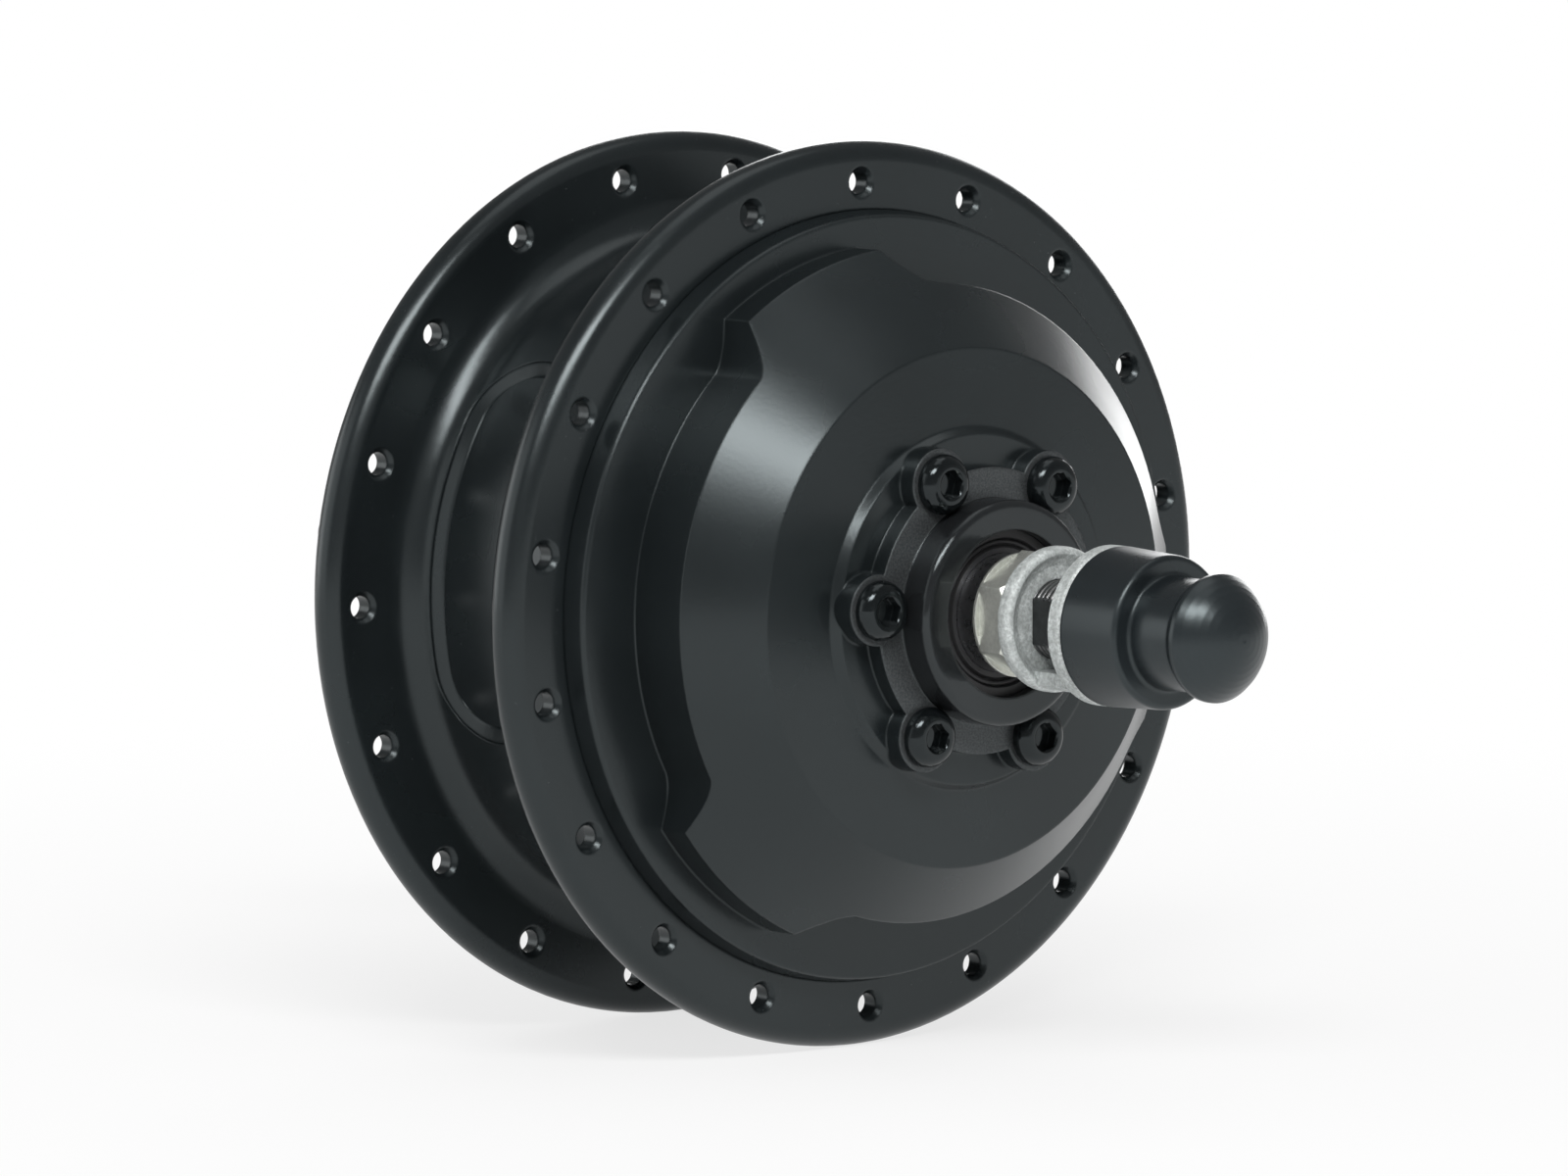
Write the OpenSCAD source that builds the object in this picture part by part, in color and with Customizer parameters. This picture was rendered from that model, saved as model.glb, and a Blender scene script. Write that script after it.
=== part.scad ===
// Geared rear hub motor, disc brake side towards -Y, drive side towards +Y.
// The axle lies along Y and the origin is midway between the two lock nut faces.
// Profiles are drawn as (radius, height along the axle), with height growing
// towards the disc brake side, and turned onto the Y axis by on_axle().

/* [Hub shell] */
// Radius of both spoke flanges at the rim
flange_r = 70; // [68:0.5:90]
// Distance from the rim to the circle of spoke holes
spoke_inset = 6.3; // [6:0.1:6.8]
// Number of spoke holes in each flange
spoke_count = 18; // [12:1:20]
// Radius of a spoke hole's throat
spoke_hole_r = 1.8; // [1.2:0.1:2]
// Radius of a spoke hole's countersunk mouth
spoke_mouth_r = 2.5; // [2.3:0.1:2.9]
// Depth of each countersink
spoke_sink = 0.8; // [0.6:0.1:1.2]
// Angle of the first spoke hole in the disc side flange
disc_spoke_angle = 110.8; // [100:0.1:120]
// Angle by which the drive side flange's spoke holes are turned back from those
spoke_offset = 10; // [0:0.5:10]
// Distance from the lock nut's face to the face that the disc sits on
nut_to_mount = 13.8; // [13.6:0.1:15]
// Distance from the disc side flange's outer face to the drive side flange's inner face
flange_span = 43.7; // [43.5:0.1:46]
// Thickness of the flange web at the spoke holes
web_t = 4.2; // [3.8:0.1:4.6]
// Radius of the round bead on the rims
bead_r = 3; // [2.6:0.1:3.2]
// Outer radius of the drum between the flanges
drum_r = 54; // [52:0.1:54.6]
// Wall of the drum
drum_wall = 3.8; // [3.4:0.1:4]
// Fillet between the drum and each flange
drum_fillet = 5.5; // [4:0.1:6]
// Depth of the cover's seat below the flange face
cover_seat = 1.1; // [0.8:0.1:1.4]
// Wall of the drive side end of the shell
end_wall = 3.5; // [3:0.1:3.8]
// Angle between the centres of the stadium recess's round ends
panel_arc = 43; // [30:0.5:46]
// Width of the stadium recess along the axle
panel_w = 21.6; // [18:0.2:22]
// Depth of the stadium recess
panel_depth = 1.1; // [0.6:0.1:1.4]
// Distance from the recess's middle to the drive side flange
panel_from_flange = 14.9; // [14:0.1:16]
// Angle at which the stadium recess lies
panel_angle = 170.5; // [160:0.5:180]

/* [Freewheel boss] */
// Outer radius of the boss that the freewheel screws onto
boss_r = 17.4; // [17.2:0.1:17.9]
// Length of the boss
boss_len = 11.6; // [10.2:0.1:14]
// Depth of the end from the drive side flange to the shoulder that the freewheel meets
end_depth = 11.8; // [11.3:0.1:13]
// Outer radius of that shoulder
shoulder_r = 22; // [20:0.2:24]

/* [Side cover] */
// Radius of the cover's rim
cover_r = 59.5; // [59:0.1:60]
// Height of the rim above the flange face
rim_h = 3.9; // [3.5:0.1:4.5]
// Radius of the dome between the lobes
dome_r = 49; // [48.8:0.1:50.2]
// How far the three lobes stand out past the dome
lobe_rise = 5.3; // [4.4:0.1:6]
// Angle of the first lobe
lobe_angle = 110.7; // [100:0.1:120]
// Half the angle that a lobe spans
lobe_half = 14.6; // [10:0.1:18]
// Angle over which a lobe's flank falls
lobe_flank = 8.6; // [6:0.1:10]
// Radius of the plateau
plateau_r = 39.6; // [38:0.1:41]
// Height of the plateau's edge above the flange face
plateau_h = 23.3; // [22.8:0.1:24]
// Rise of the plateau from its edge to the ring step
plateau_rise = 0.6; // [0.4:0.1:1]
// Fall of the cone for each millimetre outside the plateau
cone_fall = 0.93; // [0.86:0.01:0.95]
// Radius of the ring step
ring_r = 27.4; // [27.1:0.1:28.4]
// Height of the ring step
ring_h = 1.3; // [0.8:0.1:1.5]
// Wall of the cover
cover_wall = 3.2; // [2.8:0.1:3.4]

/* [Disc mount] */
// Height of the machined face that the disc sits on above the flange face
mount_h = 28.2; // [27.8:0.1:29]
// Radius of the circle of disc screws
disc_circle_r = 22; // [21.9:0.1:22.1]
// Radius of the mount between its lobes
mount_r = 21.8; // [21:0.1:22.5]
// Radius of each lobe round a screw
mount_lobe_r = 5.4; // [5:0.1:5.5]
// Radius of the collar that centres the disc
collar_r = 17.2; // [17:0.1:17.3]
// Height of the collar above the machined face
collar_h = 5.4; // [4.8:0.1:5.6]
// Rounding of the collar's edge
collar_round = 1.1; // [0.6:0.1:1.4]
// Angle of the first disc screw
screw_angle = 55.9; // [50:0.1:62]
// Radius of a disc screw's head
screw_head_r = 4.6; // [4.3:0.1:4.7]
// Height of a disc screw's head
screw_head_h = 2.7; // [2.3:0.1:3]
// Radius of a disc screw's shank
screw_shank_r = 2.4; // [2.2:0.05:2.5]
// Length of a disc screw's shank
screw_len = 9; // [7:0.5:10]
// Width across the flats of a disc screw's socket
socket_af = 4; // [3:0.1:4.2]

/* [Axle] */
// Distance between the two lock nut faces
nut_faces = 135; // [134.6:0.1:136]
// Radius of the axle's threaded ends
axle_r = 6; // [5.6:0.1:6.3]
// Radius of the axle's bearing seats on the drive side
seat_r = 7.5; // [7.2:0.1:7.8]
// Radius of the axle under the stator
core_r = 9; // [8.6:0.1:9.2]
// How far each axle end reaches past the lock nut face
axle_reach = 36; // [30:0.5:40]
// Distance across the axle's flats
flats_w = 10; // [9:0.1:11]
// Radius of the cable bore
cable_bore_r = 3.6; // [3:0.1:3.8]
// Width of the slot where the leads leave the bore
lead_slot_w = 5; // [4:0.1:6]

/* [Hardware] */
// Width across the flats of the lock nuts
lock_af = 17; // [16.6:0.1:17.4]
// Thickness of the lock nuts
lock_h = 6.7; // [6.3:0.1:7.1]
// Radius of the torque washers
torque_r = 11; // [10.6:0.1:11.4]
// Thickness of the torque washers
torque_t = 3; // [2.6:0.1:3.4]
// Depth of the hollow in the torque washers' outer faces
torque_hollow = 1.1; // [0.7:0.1:1.4]
// Length of the torque washers' tabs
tab_len = 6; // [4:0.1:7]
// Thickness of the torque washers' tabs
tab_t = 3.6; // [3:0.1:4]
// Room left for the frame's dropout
dropout_w = 9.4; // [8.5:0.1:9.8]
// Radius of the outer washers
washer_r = 12; // [11.6:0.1:12.2]
// Thickness of the outer washers
washer_t = 3; // [2.6:0.1:3.2]
// Width across the flats of the axle nuts
nut_af = 18; // [17.6:0.1:18.2]
// Thickness of the axle nuts
nut_h = 10.3; // [9.8:0.1:10.5]
// Thickness of the rubber cap's skirt over the nut's corners
skirt_t = 1.4; // [1.3:0.1:2]
// Thickness of the rubber cap's neck
neck_t = 2.5; // [1.6:0.1:2.8]
// How far the rubber cap's head stands out past its neck
head_lip = 1; // [0.8:0.1:1.6]
// Height of the rubber cap's domed head
head_h = 5.4; // [4.6:0.1:5.6]
// How far the cap and the cable grommet reach past the axle
end_extra = 6.5; // [6:0.1:7]
// How far the cable grommet's nose stands out past the cable bore
nose_lip = 0.6; // [0.4:0.1:1]
// Wall of the cable grommet round the cable hole
grommet_t = 1; // [0.8:0.1:1.4]

/* [Motor] */
// Gap between the rotor can and the drum
rotor_gap = 1.8; // [1:0.1:2.4]
// Length of a stator tooth
tooth_len = 16; // [13:0.1:16.5]
// Width of the stator's solid ring inside the teeth
yoke_w = 6; // [4:0.1:7]
// Number of stator teeth
stator_teeth = 18; // [12:3:18]
// Width of a stator tooth
tooth_w = 4; // [3.4:0.1:4.2]
// Thickness of a coil's side
coil_t = 2.2; // [1.8:0.1:2.3]
// Length of the stator core
stack_len = 16; // [14:0.1:16.5]
// Number of magnets in the rotor
magnet_count = 20; // [16:2:22]
// Thickness of a magnet
magnet_t = 3; // [2.6:0.1:3.2]
// Gap between the stator and the magnets
air_gap = 0.7; // [0.6:0.1:0.9]
// Wall of the rotor can
can_wall = 2.7; // [2.4:0.1:2.9]
// Thickness of the rotor's end plates
plate_t = 3.2; // [2.6:0.1:3.3]

/* [Gear train] */
// Module of the gears
gear_module = 1; // [0.96:0.01:1.01]
// Teeth on the sun gear; the planets' teeth make the sum up to 54
sun_teeth = 20; // [18:1:26]
// Width of the gears
gear_w = 11.6; // [10:0.1:11.8]
// Backlash at the pitch circle
backlash = 0.14; // [0.1:0.01:0.2]
// Radius of the planets' pins
pin_r = 4; // [3.6:0.1:4.2]
// Wall of the planets' bearings
planet_bearing_t = 4; // [3:0.1:5]
// Thickness of the carrier's plate
carrier_t = 5; // [4:0.1:5.4]
// Width of the carrier's plate outside the planets' pins
carrier_edge = 3; // [2:0.1:5]
// Radius of the track that the clutch rollers run on
track_r = 16; // [15.6:0.1:18]
// Radius of a clutch roller
roller_r = 2.5; // [2.2:0.1:2.6]
// Number of clutch rollers
roller_count = 8; // [6:1:8]
// Length of the clutch
clutch_len = 11; // [10:0.1:11.4]

/* [Bearings] */
// Outer radius of the disc side main bearing
disc_bearing_r = 16; // [15.6:0.1:16.2]
// Width of the disc side main bearing
disc_bearing_w = 10; // [9.6:0.1:10]
// Outer radius of the drive side bearings
drive_bearing_r = 14; // [13.8:0.1:14.2]
// Width of the drive side bearings
drive_bearing_w = 7; // [6.6:0.1:7]
// Outer radius of the rotor's disc side bearing
rotor_bearing_r = 12; // [11.8:0.1:12.2]
// Width of the rotor's disc side bearing
rotor_bearing_w = 6; // [5.6:0.1:6]
// Outer radius of the axle seals
seal_r = 12.7; // [12:0.1:13]
// Outer radius of the sleeves that the seals run on
sleeve_r = 9; // [8.8:0.1:9.4]

/* [Clearances] */
// Gap between a pressed piece and its seat
press_gap = 0.03; // [0.02:0.01:0.05]
// Running gap of pins, rollers and balls
run_gap = 0.05; // [0.03:0.01:0.08]
// Gap of pieces that turn past each other
clear_gap = 0.5; // [0.4:0.05:0.6]

/* [Hidden] */

round_fn = 96;
arc_steps = 5;
flank_steps = 16;
flank_past = 0.1;
planets = 3;
tooth_sum = 54;
pressure_angle = 20;

// Shell
half_width = nut_faces / 2;
mount_z = half_width - nut_to_mount;
disc_face_z = mount_z - mount_h;
drive_face_z = disc_face_z - flange_span;
shoulder_z = drive_face_z - end_depth;
spoke_circle_r = flange_r - spoke_inset;
disc_web_in_z = disc_face_z - web_t;
drive_web_out_z = drive_face_z - web_t;
bead_centre_r = flange_r - bead_r;
web_edge_r = bead_centre_r - 2.8;
drum_in_r = drum_r - drum_wall;
rim_top_z = disc_face_z + rim_h;
seat_z = disc_face_z - cover_seat;
boss_end_z = shoulder_z - boss_len;

// Cover
skirt_r = drum_in_r - press_gap;
plateau_z = disc_face_z + plateau_h;
lobe_r = dome_r + lobe_rise;
step_z = plateau_z + plateau_rise;
floor_z = step_z + ring_h;
collar_top_z = mount_z + collar_h;
disc_bearing_top_z = mount_z - 0.7;
disc_bearing_z = disc_bearing_top_z - disc_bearing_w;
cover_hub_z = disc_bearing_z - 1.5;

// Axle and hardware
axle_end_z = half_width + axle_reach;
end_z = axle_end_z + end_extra;
gap_in_z = half_width + torque_t;
gap_out_z = gap_in_z + dropout_w;
nut_z = gap_out_z + washer_t;
nut_end_z = nut_z + nut_h;
skirt_in_cap_r = nut_af / sqrt(3) + 0.2;
cap_r = skirt_in_cap_r + skirt_t;
neck_r = axle_r + neck_t;
head_r = neck_r + head_lip;
nose_r = cable_bore_r + nose_lip;
cable_hole_r = cable_bore_r - grommet_t;
lock_in_z = half_width - lock_h;
lock_rim = 0.9;
lock_rim_h = 0.6;
drive_bearing_z = boss_end_z + 2.6;
rotor_drive_z = drive_face_z - 6.8;
rotor_shoulder_z = rotor_drive_z + drive_bearing_w;
stack_z = rotor_shoulder_z + 5.5;
rotor_disc_z = stack_z + stack_len - 0.3;
rotor_disc_top_z = rotor_disc_z + rotor_bearing_w;

// Motor
end_turn = 4.5;
can_r = drum_in_r - rotor_gap;
can_in_r = can_r - can_wall;
magnet_out_r = can_in_r - press_gap;
magnet_in_r = magnet_out_r - magnet_t;
stator_r = magnet_in_r - air_gap;
slot_floor_r = stator_r - tooth_len;
stator_bore_r = slot_floor_r - yoke_w;
gear_plate_top_z = rotor_disc_top_z + 3;
gear_plate_z = gear_plate_top_z - plate_t;
end_plate_top_z = rotor_shoulder_z;
end_plate_t = plate_t - 0.8;
plate_hole_r = 5.5;

// Gears
planet_teeth = tooth_sum - sun_teeth;
ring_teeth = sun_teeth + 2 * planet_teeth;
sun_pitch_r = gear_module * sun_teeth / 2;
planet_pitch_r = gear_module * planet_teeth / 2;
ring_pitch_r = gear_module * ring_teeth / 2;
dedendum = 1.25 * gear_module;
centre_r = sun_pitch_r + planet_pitch_r;
planet_bearing_r = pin_r + planet_bearing_t;
carrier_r = centre_r + pin_r + carrier_edge;
clutch_r = centre_r - pin_r - 1;
planet_z = gear_plate_top_z + 1;
planet_top_z = planet_z + gear_w;
ring_z = planet_z - 0.2;
ring_w = gear_w + 0.2;
ring_out_r = skirt_r - 2.3;
skirt_in_r = ring_out_r + press_gap;
carrier_z = planet_top_z + 0.8;
carrier_top_z = carrier_z + carrier_t;
cam_z = carrier_z + 0.6;
clutch_top_z = cam_z + clutch_len;
first_planet = 90;
sun_phase = 0;
key_w = 4;
key_t = 3.6;
washer_inset = 4;
socket_depth = 1.8;

black = [0.055, 0.06, 0.065];
gloss_black = [0.03, 0.03, 0.035];
zinc = [0.62, 0.63, 0.64];
cream = [0.72, 0.72, 0.62];
steel = [0.55, 0.56, 0.58];
nylon = [0.88, 0.86, 0.78];
copper = [0.72, 0.4, 0.2];
rubber = [0.09, 0.1, 0.105];

// Points of a small rounding about (cx, cy)
function arc(cx, cy, r, from, to) =
    [for (i = [0 : arc_steps])
        let (a = from + (to - from) * i / arc_steps) [cx + r * cos(a), cy + r * sin(a)]];

// The cone outside the plateau
function cone_z(r) = plateau_z - cone_fall * (r - plateau_r);

// Points of one hollow flank of a lobe: from the dome outwards on side -1, back down to the dome on side 1
function flank_points(side) =
    [for (i = [0 : flank_steps])
        let (t = side < 0 ? i / flank_steps : 1 - i / flank_steps,
            r = dome_r - flank_past + (lobe_rise + 2 * flank_past) * pow(t, 2),
            a = side * (lobe_half + lobe_flank * (1 - t)))
        r * [cos(a), sin(a)]];

// Points well outside a lobe's arc, between its two flanks
function beyond_lobe() =
    [for (a = [-lobe_half / 2, lobe_half / 2]) 1.2 * lobe_r * [cos(a), sin(a)]];

// Involute helpers, in degrees
function involute(angle) = tan(angle) * 180 / PI - angle;

function pressure_at(base, r) = acos(min(1, base / r));

function half_tooth(teeth, r, slack) =
    let (pitch = gear_module * teeth / 2, base = pitch * cos(pressure_angle))
    90 / teeth - slack / 2 / pitch * 180 / PI
        + involute(pressure_angle) - involute(pressure_at(base, max(r, base)));

// Radii at which a flank is drawn, from the root to the tip
function flank_radii(teeth, root, tip) =
    let (base = gear_module * teeth / 2 * cos(pressure_angle), start = max(base, root + 0.05))
    concat([root], [for (i = [0 : 3]) start + (tip - start) * i / 3]);

function tooth_points(teeth, root, tip, slack, turn) =
    let (radii = flank_radii(teeth, root, tip), last = len(radii) - 1)
    concat(
        [for (i = [0 : last]) let (r = radii[i], a = turn - half_tooth(teeth, r, slack))
            r * [cos(a), sin(a)]],
        [for (i = [last : -1 : 0]) let (r = radii[i], a = turn + half_tooth(teeth, r, slack))
            r * [cos(a), sin(a)]]);

function gear_points(teeth, root, tip, slack, phase) =
    [for (i = [0 : teeth - 1]) each tooth_points(teeth, root, tip, slack, phase + 360 * i / teeth)];

function planet_angle(i) = first_planet + 360 * i / planets;

// Phase of a planet's teeth that puts it in mesh with the sun
function planet_phase(i) =
    let (a = planet_angle(i))
    a + 180 - 360 / planet_teeth * ((sun_phase - a) * sun_teeth / 360 - 0.5);

// Phase of the ring gear's spaces, in mesh with the first planet
function ring_phase() =
    let (a = planet_angle(0))
    a + 360 / ring_teeth * ((planet_phase(0) - a) * planet_teeth / 360);

module on_axle() {
    rotate([90, 0, 0]) children();
}

// A turned piece, from points (radius, height)
module turned(points) {
    rotate_extrude($fn = round_fn) polygon(points);
}

module ring(r_out, r_in, z, length) {
    turned([[r_in, z], [r_out, z], [r_out, z + length], [r_in, z + length]]);
}

module rod(r, z, length) {
    translate([0, 0, z]) cylinder(r = r, h = length, $fn = round_fn);
}

module around(count, first = 0) {
    for (i = [0 : count - 1]) rotate([0, 0, first + 360 * i / count]) children();
}

module hexagon(across_flats) {
    circle(r = across_flats / sqrt(3), $fn = 6);
}

// The throat of one spoke hole and both countersinks, whose cones run on past the web
module spoke_hole(z) {
    beyond = 2.2;
    wide_r = spoke_mouth_r + beyond * (spoke_mouth_r - spoke_hole_r) / spoke_sink;
    translate([spoke_circle_r, 0, z]) rotate_extrude($fn = 32) polygon([
        [0, -beyond], [wide_r, -beyond], [spoke_hole_r, spoke_sink],
        [spoke_hole_r, web_t - spoke_sink], [wide_r, web_t + beyond], [0, web_t + beyond]]);
}

// Recess with the drum's own curve for its floor and round ends
module panel_recess() {
    mid_z = drive_face_z + panel_from_flange;
    intersection() {
        ring(drum_r + 3, drum_r - panel_depth, mid_z - panel_w, 2 * panel_w);
        union() {
            rotate([0, 0, panel_angle - panel_arc / 2]) rotate_extrude(angle = panel_arc, $fn = round_fn)
                translate([drum_r / 2, mid_z - panel_w / 2]) square([drum_r, panel_w]);
            for (side = [-1, 1]) rotate([0, 0, panel_angle + side * panel_arc / 2])
                translate([drum_r / 2, 0, mid_z]) rotate([0, 90, 0])
                    cylinder(d = panel_w, h = drum_r, $fn = 64);
        }
    }
}

// Small cast nubs beside the drive side flange
module cast_nubs() {
    nub_angles = [98.6, 243.8];
    for (a = nub_angles) rotate([0, 0, a])
        translate([drum_r + 0.9, 0, drive_face_z + 3.4]) sphere(r = 1.5, $fn = 24);
}

// Half section of the shell: both flanges, the drum, the end wall and the boss
module shell_section() {
    overlap = 0.5;
    fillet = drum_fillet + overlap;
    difference() {
        union() {
            polygon([
                [cover_r + press_gap, disc_face_z], [bead_centre_r, disc_face_z],
                [bead_centre_r, disc_face_z - 2 * bead_r], [web_edge_r, disc_web_in_z],
                [drum_r, disc_web_in_z], [drum_r, drive_face_z],
                [bead_centre_r, drive_face_z], [bead_centre_r, drive_face_z - 2 * bead_r],
                [web_edge_r, drive_web_out_z], [drum_r + 4, drive_web_out_z],
                [drum_r + 2.6, drive_web_out_z - 0.5], [drum_in_r + 1.4, drive_web_out_z - 2.5],
                [drum_in_r, drive_web_out_z - 3],
                [shoulder_r + 4, shoulder_z + 0.4], [shoulder_r, shoulder_z], [boss_r, shoulder_z],
                [boss_r, boss_end_z + 0.6], [boss_r - 0.6, boss_end_z],
                [seal_r + press_gap, boss_end_z], [seal_r + press_gap, drive_bearing_z],
                [drive_bearing_r + press_gap, drive_bearing_z],
                [drive_bearing_r + press_gap, shoulder_z + end_wall],
                [shoulder_r + 4, shoulder_z + end_wall],
                [drum_in_r, drive_web_out_z - 3 + end_wall],
                [drum_in_r, seat_z], [cover_r + press_gap, seat_z]]);
            for (face = [disc_face_z, drive_face_z])
                translate([bead_centre_r, face - bead_r]) circle(r = bead_r, $fn = 48);
            translate([drum_r - overlap, disc_web_in_z - drum_fillet]) square(fillet);
            translate([drum_r - overlap, drive_face_z - overlap]) square(fillet);
        }
        for (z = [disc_web_in_z - drum_fillet, drive_face_z + drum_fillet])
            translate([drum_r + drum_fillet, z]) circle(r = drum_fillet, $fn = 48);
    }
}

module hub_shell() color(black) on_axle() {
    difference() {
        union() {
            rotate_extrude($fn = round_fn) shell_section();
            cast_nubs();
        }
        around(spoke_count, disc_spoke_angle) spoke_hole(disc_web_in_z);
        around(spoke_count, disc_spoke_angle - spoke_offset) spoke_hole(drive_web_out_z);
        panel_recess();
    }
}

// Outline of the three-lobed dome, true arcs joined by hollow flanks
module dome_outline() {
    circle(r = dome_r, $fn = round_fn);
    intersection() {
        circle(r = lobe_r, $fn = round_fn);
        around(3, lobe_angle)
            polygon(concat([[0, 0]], flank_points(-1), beyond_lobe(), flank_points(1)));
    }
}

// Everything below the dome's cone, the plateau and the ring step
module dome_envelope() {
    turned([[0, seat_z], [lobe_r + 2, seat_z], [lobe_r + 2, cone_z(lobe_r + 2)],
            [plateau_r, plateau_z], [ring_r + 0.3, step_z], [ring_r - 0.7, floor_z], [0, floor_z]]);
}

// Space inside the cover, round the boss that holds the bearing
module cover_space() {
    inner_r = dome_r - cover_wall;
    boss = disc_circle_r + screw_shank_r + 2.8;
    roof_z = plateau_z - cover_wall;
    turned([[0, ring_z - 2], [skirt_in_r, ring_z - 2],
            [skirt_in_r, ring_z + ring_w], [inner_r, ring_z + ring_w],
            [inner_r, cone_z(inner_r) - cover_wall - 0.8], [plateau_r - 1, roof_z],
            [boss, roof_z], [boss, cover_hub_z], [0, cover_hub_z]]);
}

module side_cover() color(black) on_axle() {
    difference() {
        union() {
            intersection() {
                translate([0, 0, seat_z]) linear_extrude(mount_z - seat_z) dome_outline();
                dome_envelope();
            }
            turned([[0, seat_z], [cover_r, seat_z], [cover_r, disc_face_z + 0.4],
                    [cover_r - 0.5, rim_top_z - 0.6], [cover_r - 0.6, rim_top_z - 0.3],
                    [cover_r - 0.9, rim_top_z], [0, rim_top_z]]);
            rod(skirt_r, ring_z, seat_z - ring_z);
            translate([0, 0, floor_z - 1]) linear_extrude(mount_z - floor_z + 1) {
                circle(r = mount_r, $fn = round_fn);
                around(6, screw_angle) translate([disc_circle_r, 0]) circle(r = mount_lobe_r, $fn = 40);
            }
            turned(concat([[0, mount_z - 1], [collar_r, mount_z - 1]],
                arc(collar_r - collar_round, collar_top_z - collar_round, collar_round, 0, 90),
                [[0, collar_top_z]]));
        }
        cover_space();
        rod(disc_bearing_r + press_gap, cover_hub_z - 1, disc_bearing_top_z - cover_hub_z + 1);
        rod(seal_r + press_gap, disc_bearing_top_z - 1, collar_top_z);
        around(6, screw_angle) translate([disc_circle_r, 0, mount_z - screw_len - 1])
            cylinder(r = screw_shank_r + press_gap, h = screw_len + 2, $fn = 32);
    }
}

module disc_screws() color(gloss_black) on_axle() {
    flat_r = socket_af / 2 + 0.7;
    around(6, screw_angle) translate([disc_circle_r, 0, mount_z]) difference() {
        rotate_extrude($fn = 48) polygon(concat(
            [[0, -screw_len], [screw_shank_r - 0.4, -screw_len], [screw_shank_r, 0.4 - screw_len],
             [screw_shank_r, 0], [screw_head_r - 0.15, 0], [screw_head_r, 0.5]],
            [for (i = [1 : 8]) let (a = 90 * i / 8)
                [flat_r + (screw_head_r - flat_r) * cos(a), 0.5 + (screw_head_h - 0.5) * sin(a)]],
            [[0, screw_head_h]]));
        translate([0, 0, screw_head_h - socket_depth]) rotate([0, 0, 17])
            linear_extrude(socket_depth + 1) hexagon(socket_af);
        translate([0, 0, screw_head_h - 0.3])
            cylinder(r1 = socket_af / 2, r2 = socket_af / 2 + 0.5, h = 0.4, $fn = 48);
    }
}

module ring_gear() color(steel) on_axle() {
    translate([0, 0, ring_z]) linear_extrude(ring_w) difference() {
        circle(r = ring_out_r, $fn = round_fn);
        polygon(gear_points(ring_teeth, ring_pitch_r - 0.9 * gear_module, ring_pitch_r + dedendum,
            -backlash, ring_phase()));
    }
}

// A shaft seal with a raised lip towards its outer side
module seal(z, length, face) {
    lip = sleeve_r + run_gap;
    top = z + length;
    turned(face > 0
        ? [[lip, z], [seal_r, z], [seal_r, top], [seal_r - 1.3, top], [seal_r - 1.7, top - 0.8],
           [lip + 1.2, top - 0.8], [lip + 0.8, top - 0.2], [lip, top - 0.2]]
        : [[lip, z + 0.2], [lip + 0.8, z + 0.2], [lip + 1.2, z + 0.8], [seal_r - 1.7, z + 0.8],
           [seal_r - 1.3, z], [seal_r, z], [seal_r, top], [lip, top]]);
}

module disc_side_seal() color(rubber) on_axle() seal(disc_bearing_top_z, 4, 1);

module drive_side_seal() color(rubber) on_axle() seal(boss_end_z, 2.6, -1);

// One race of a ball bearing, with its groove
module race(r_out, r_in, z, width, ball_r, track) {
    difference() {
        ring(r_out, r_in, z, width);
        translate([0, 0, z + width / 2]) rotate_extrude($fn = round_fn)
            translate([track, 0]) circle(r = ball_r + run_gap, $fn = 32);
    }
}

function ball_r(r_out, r_in) = (r_out - r_in) * 0.27;

function track_mid(r_out, r_in) = (r_out + r_in) / 2;

module outer_race(r_out, r_in, z, width) {
    b = ball_r(r_out, r_in);
    m = track_mid(r_out, r_in);
    race(r_out, m + b * 0.55, z, width, b, m);
}

module inner_race(r_out, r_in, z, width) {
    b = ball_r(r_out, r_in);
    m = track_mid(r_out, r_in);
    race(m - b * 0.55, r_in + press_gap, z, width, b, m);
}

// The balls and the cage ring that spaces them
module ball_set(r_out, r_in, z, width, count) {
    b = ball_r(r_out, r_in);
    m = track_mid(r_out, r_in);
    translate([0, 0, z + width / 2]) {
        around(count) translate([m, 0, 0]) sphere(r = b, $fn = 32);
        rotate_extrude($fn = round_fn) translate([m - b * 0.3, -b * 0.5]) square([b * 0.6, b]);
    }
}

module disc_bearing_outer_race() color(steel) on_axle()
    outer_race(disc_bearing_r, axle_r, disc_bearing_z, disc_bearing_w);

module disc_bearing_inner_race() color(steel) on_axle()
    inner_race(disc_bearing_r, axle_r, disc_bearing_z, disc_bearing_w);

module disc_bearing_balls() color(zinc) on_axle()
    ball_set(disc_bearing_r, axle_r, disc_bearing_z, disc_bearing_w, 7);

module drive_bearing_outer_race() color(steel) on_axle()
    outer_race(drive_bearing_r, seat_r, drive_bearing_z, drive_bearing_w);

module drive_bearing_inner_race() color(steel) on_axle()
    inner_race(drive_bearing_r, seat_r, drive_bearing_z, drive_bearing_w);

module drive_bearing_balls() color(zinc) on_axle()
    ball_set(drive_bearing_r, seat_r, drive_bearing_z, drive_bearing_w, 11);

module rotor_drive_bearing_outer_race() color(steel) on_axle()
    outer_race(drive_bearing_r, seat_r, rotor_drive_z, drive_bearing_w);

module rotor_drive_bearing_inner_race() color(steel) on_axle()
    inner_race(drive_bearing_r, seat_r, rotor_drive_z, drive_bearing_w);

module rotor_drive_bearing_balls() color(zinc) on_axle()
    ball_set(drive_bearing_r, seat_r, rotor_drive_z, drive_bearing_w, 11);

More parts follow.
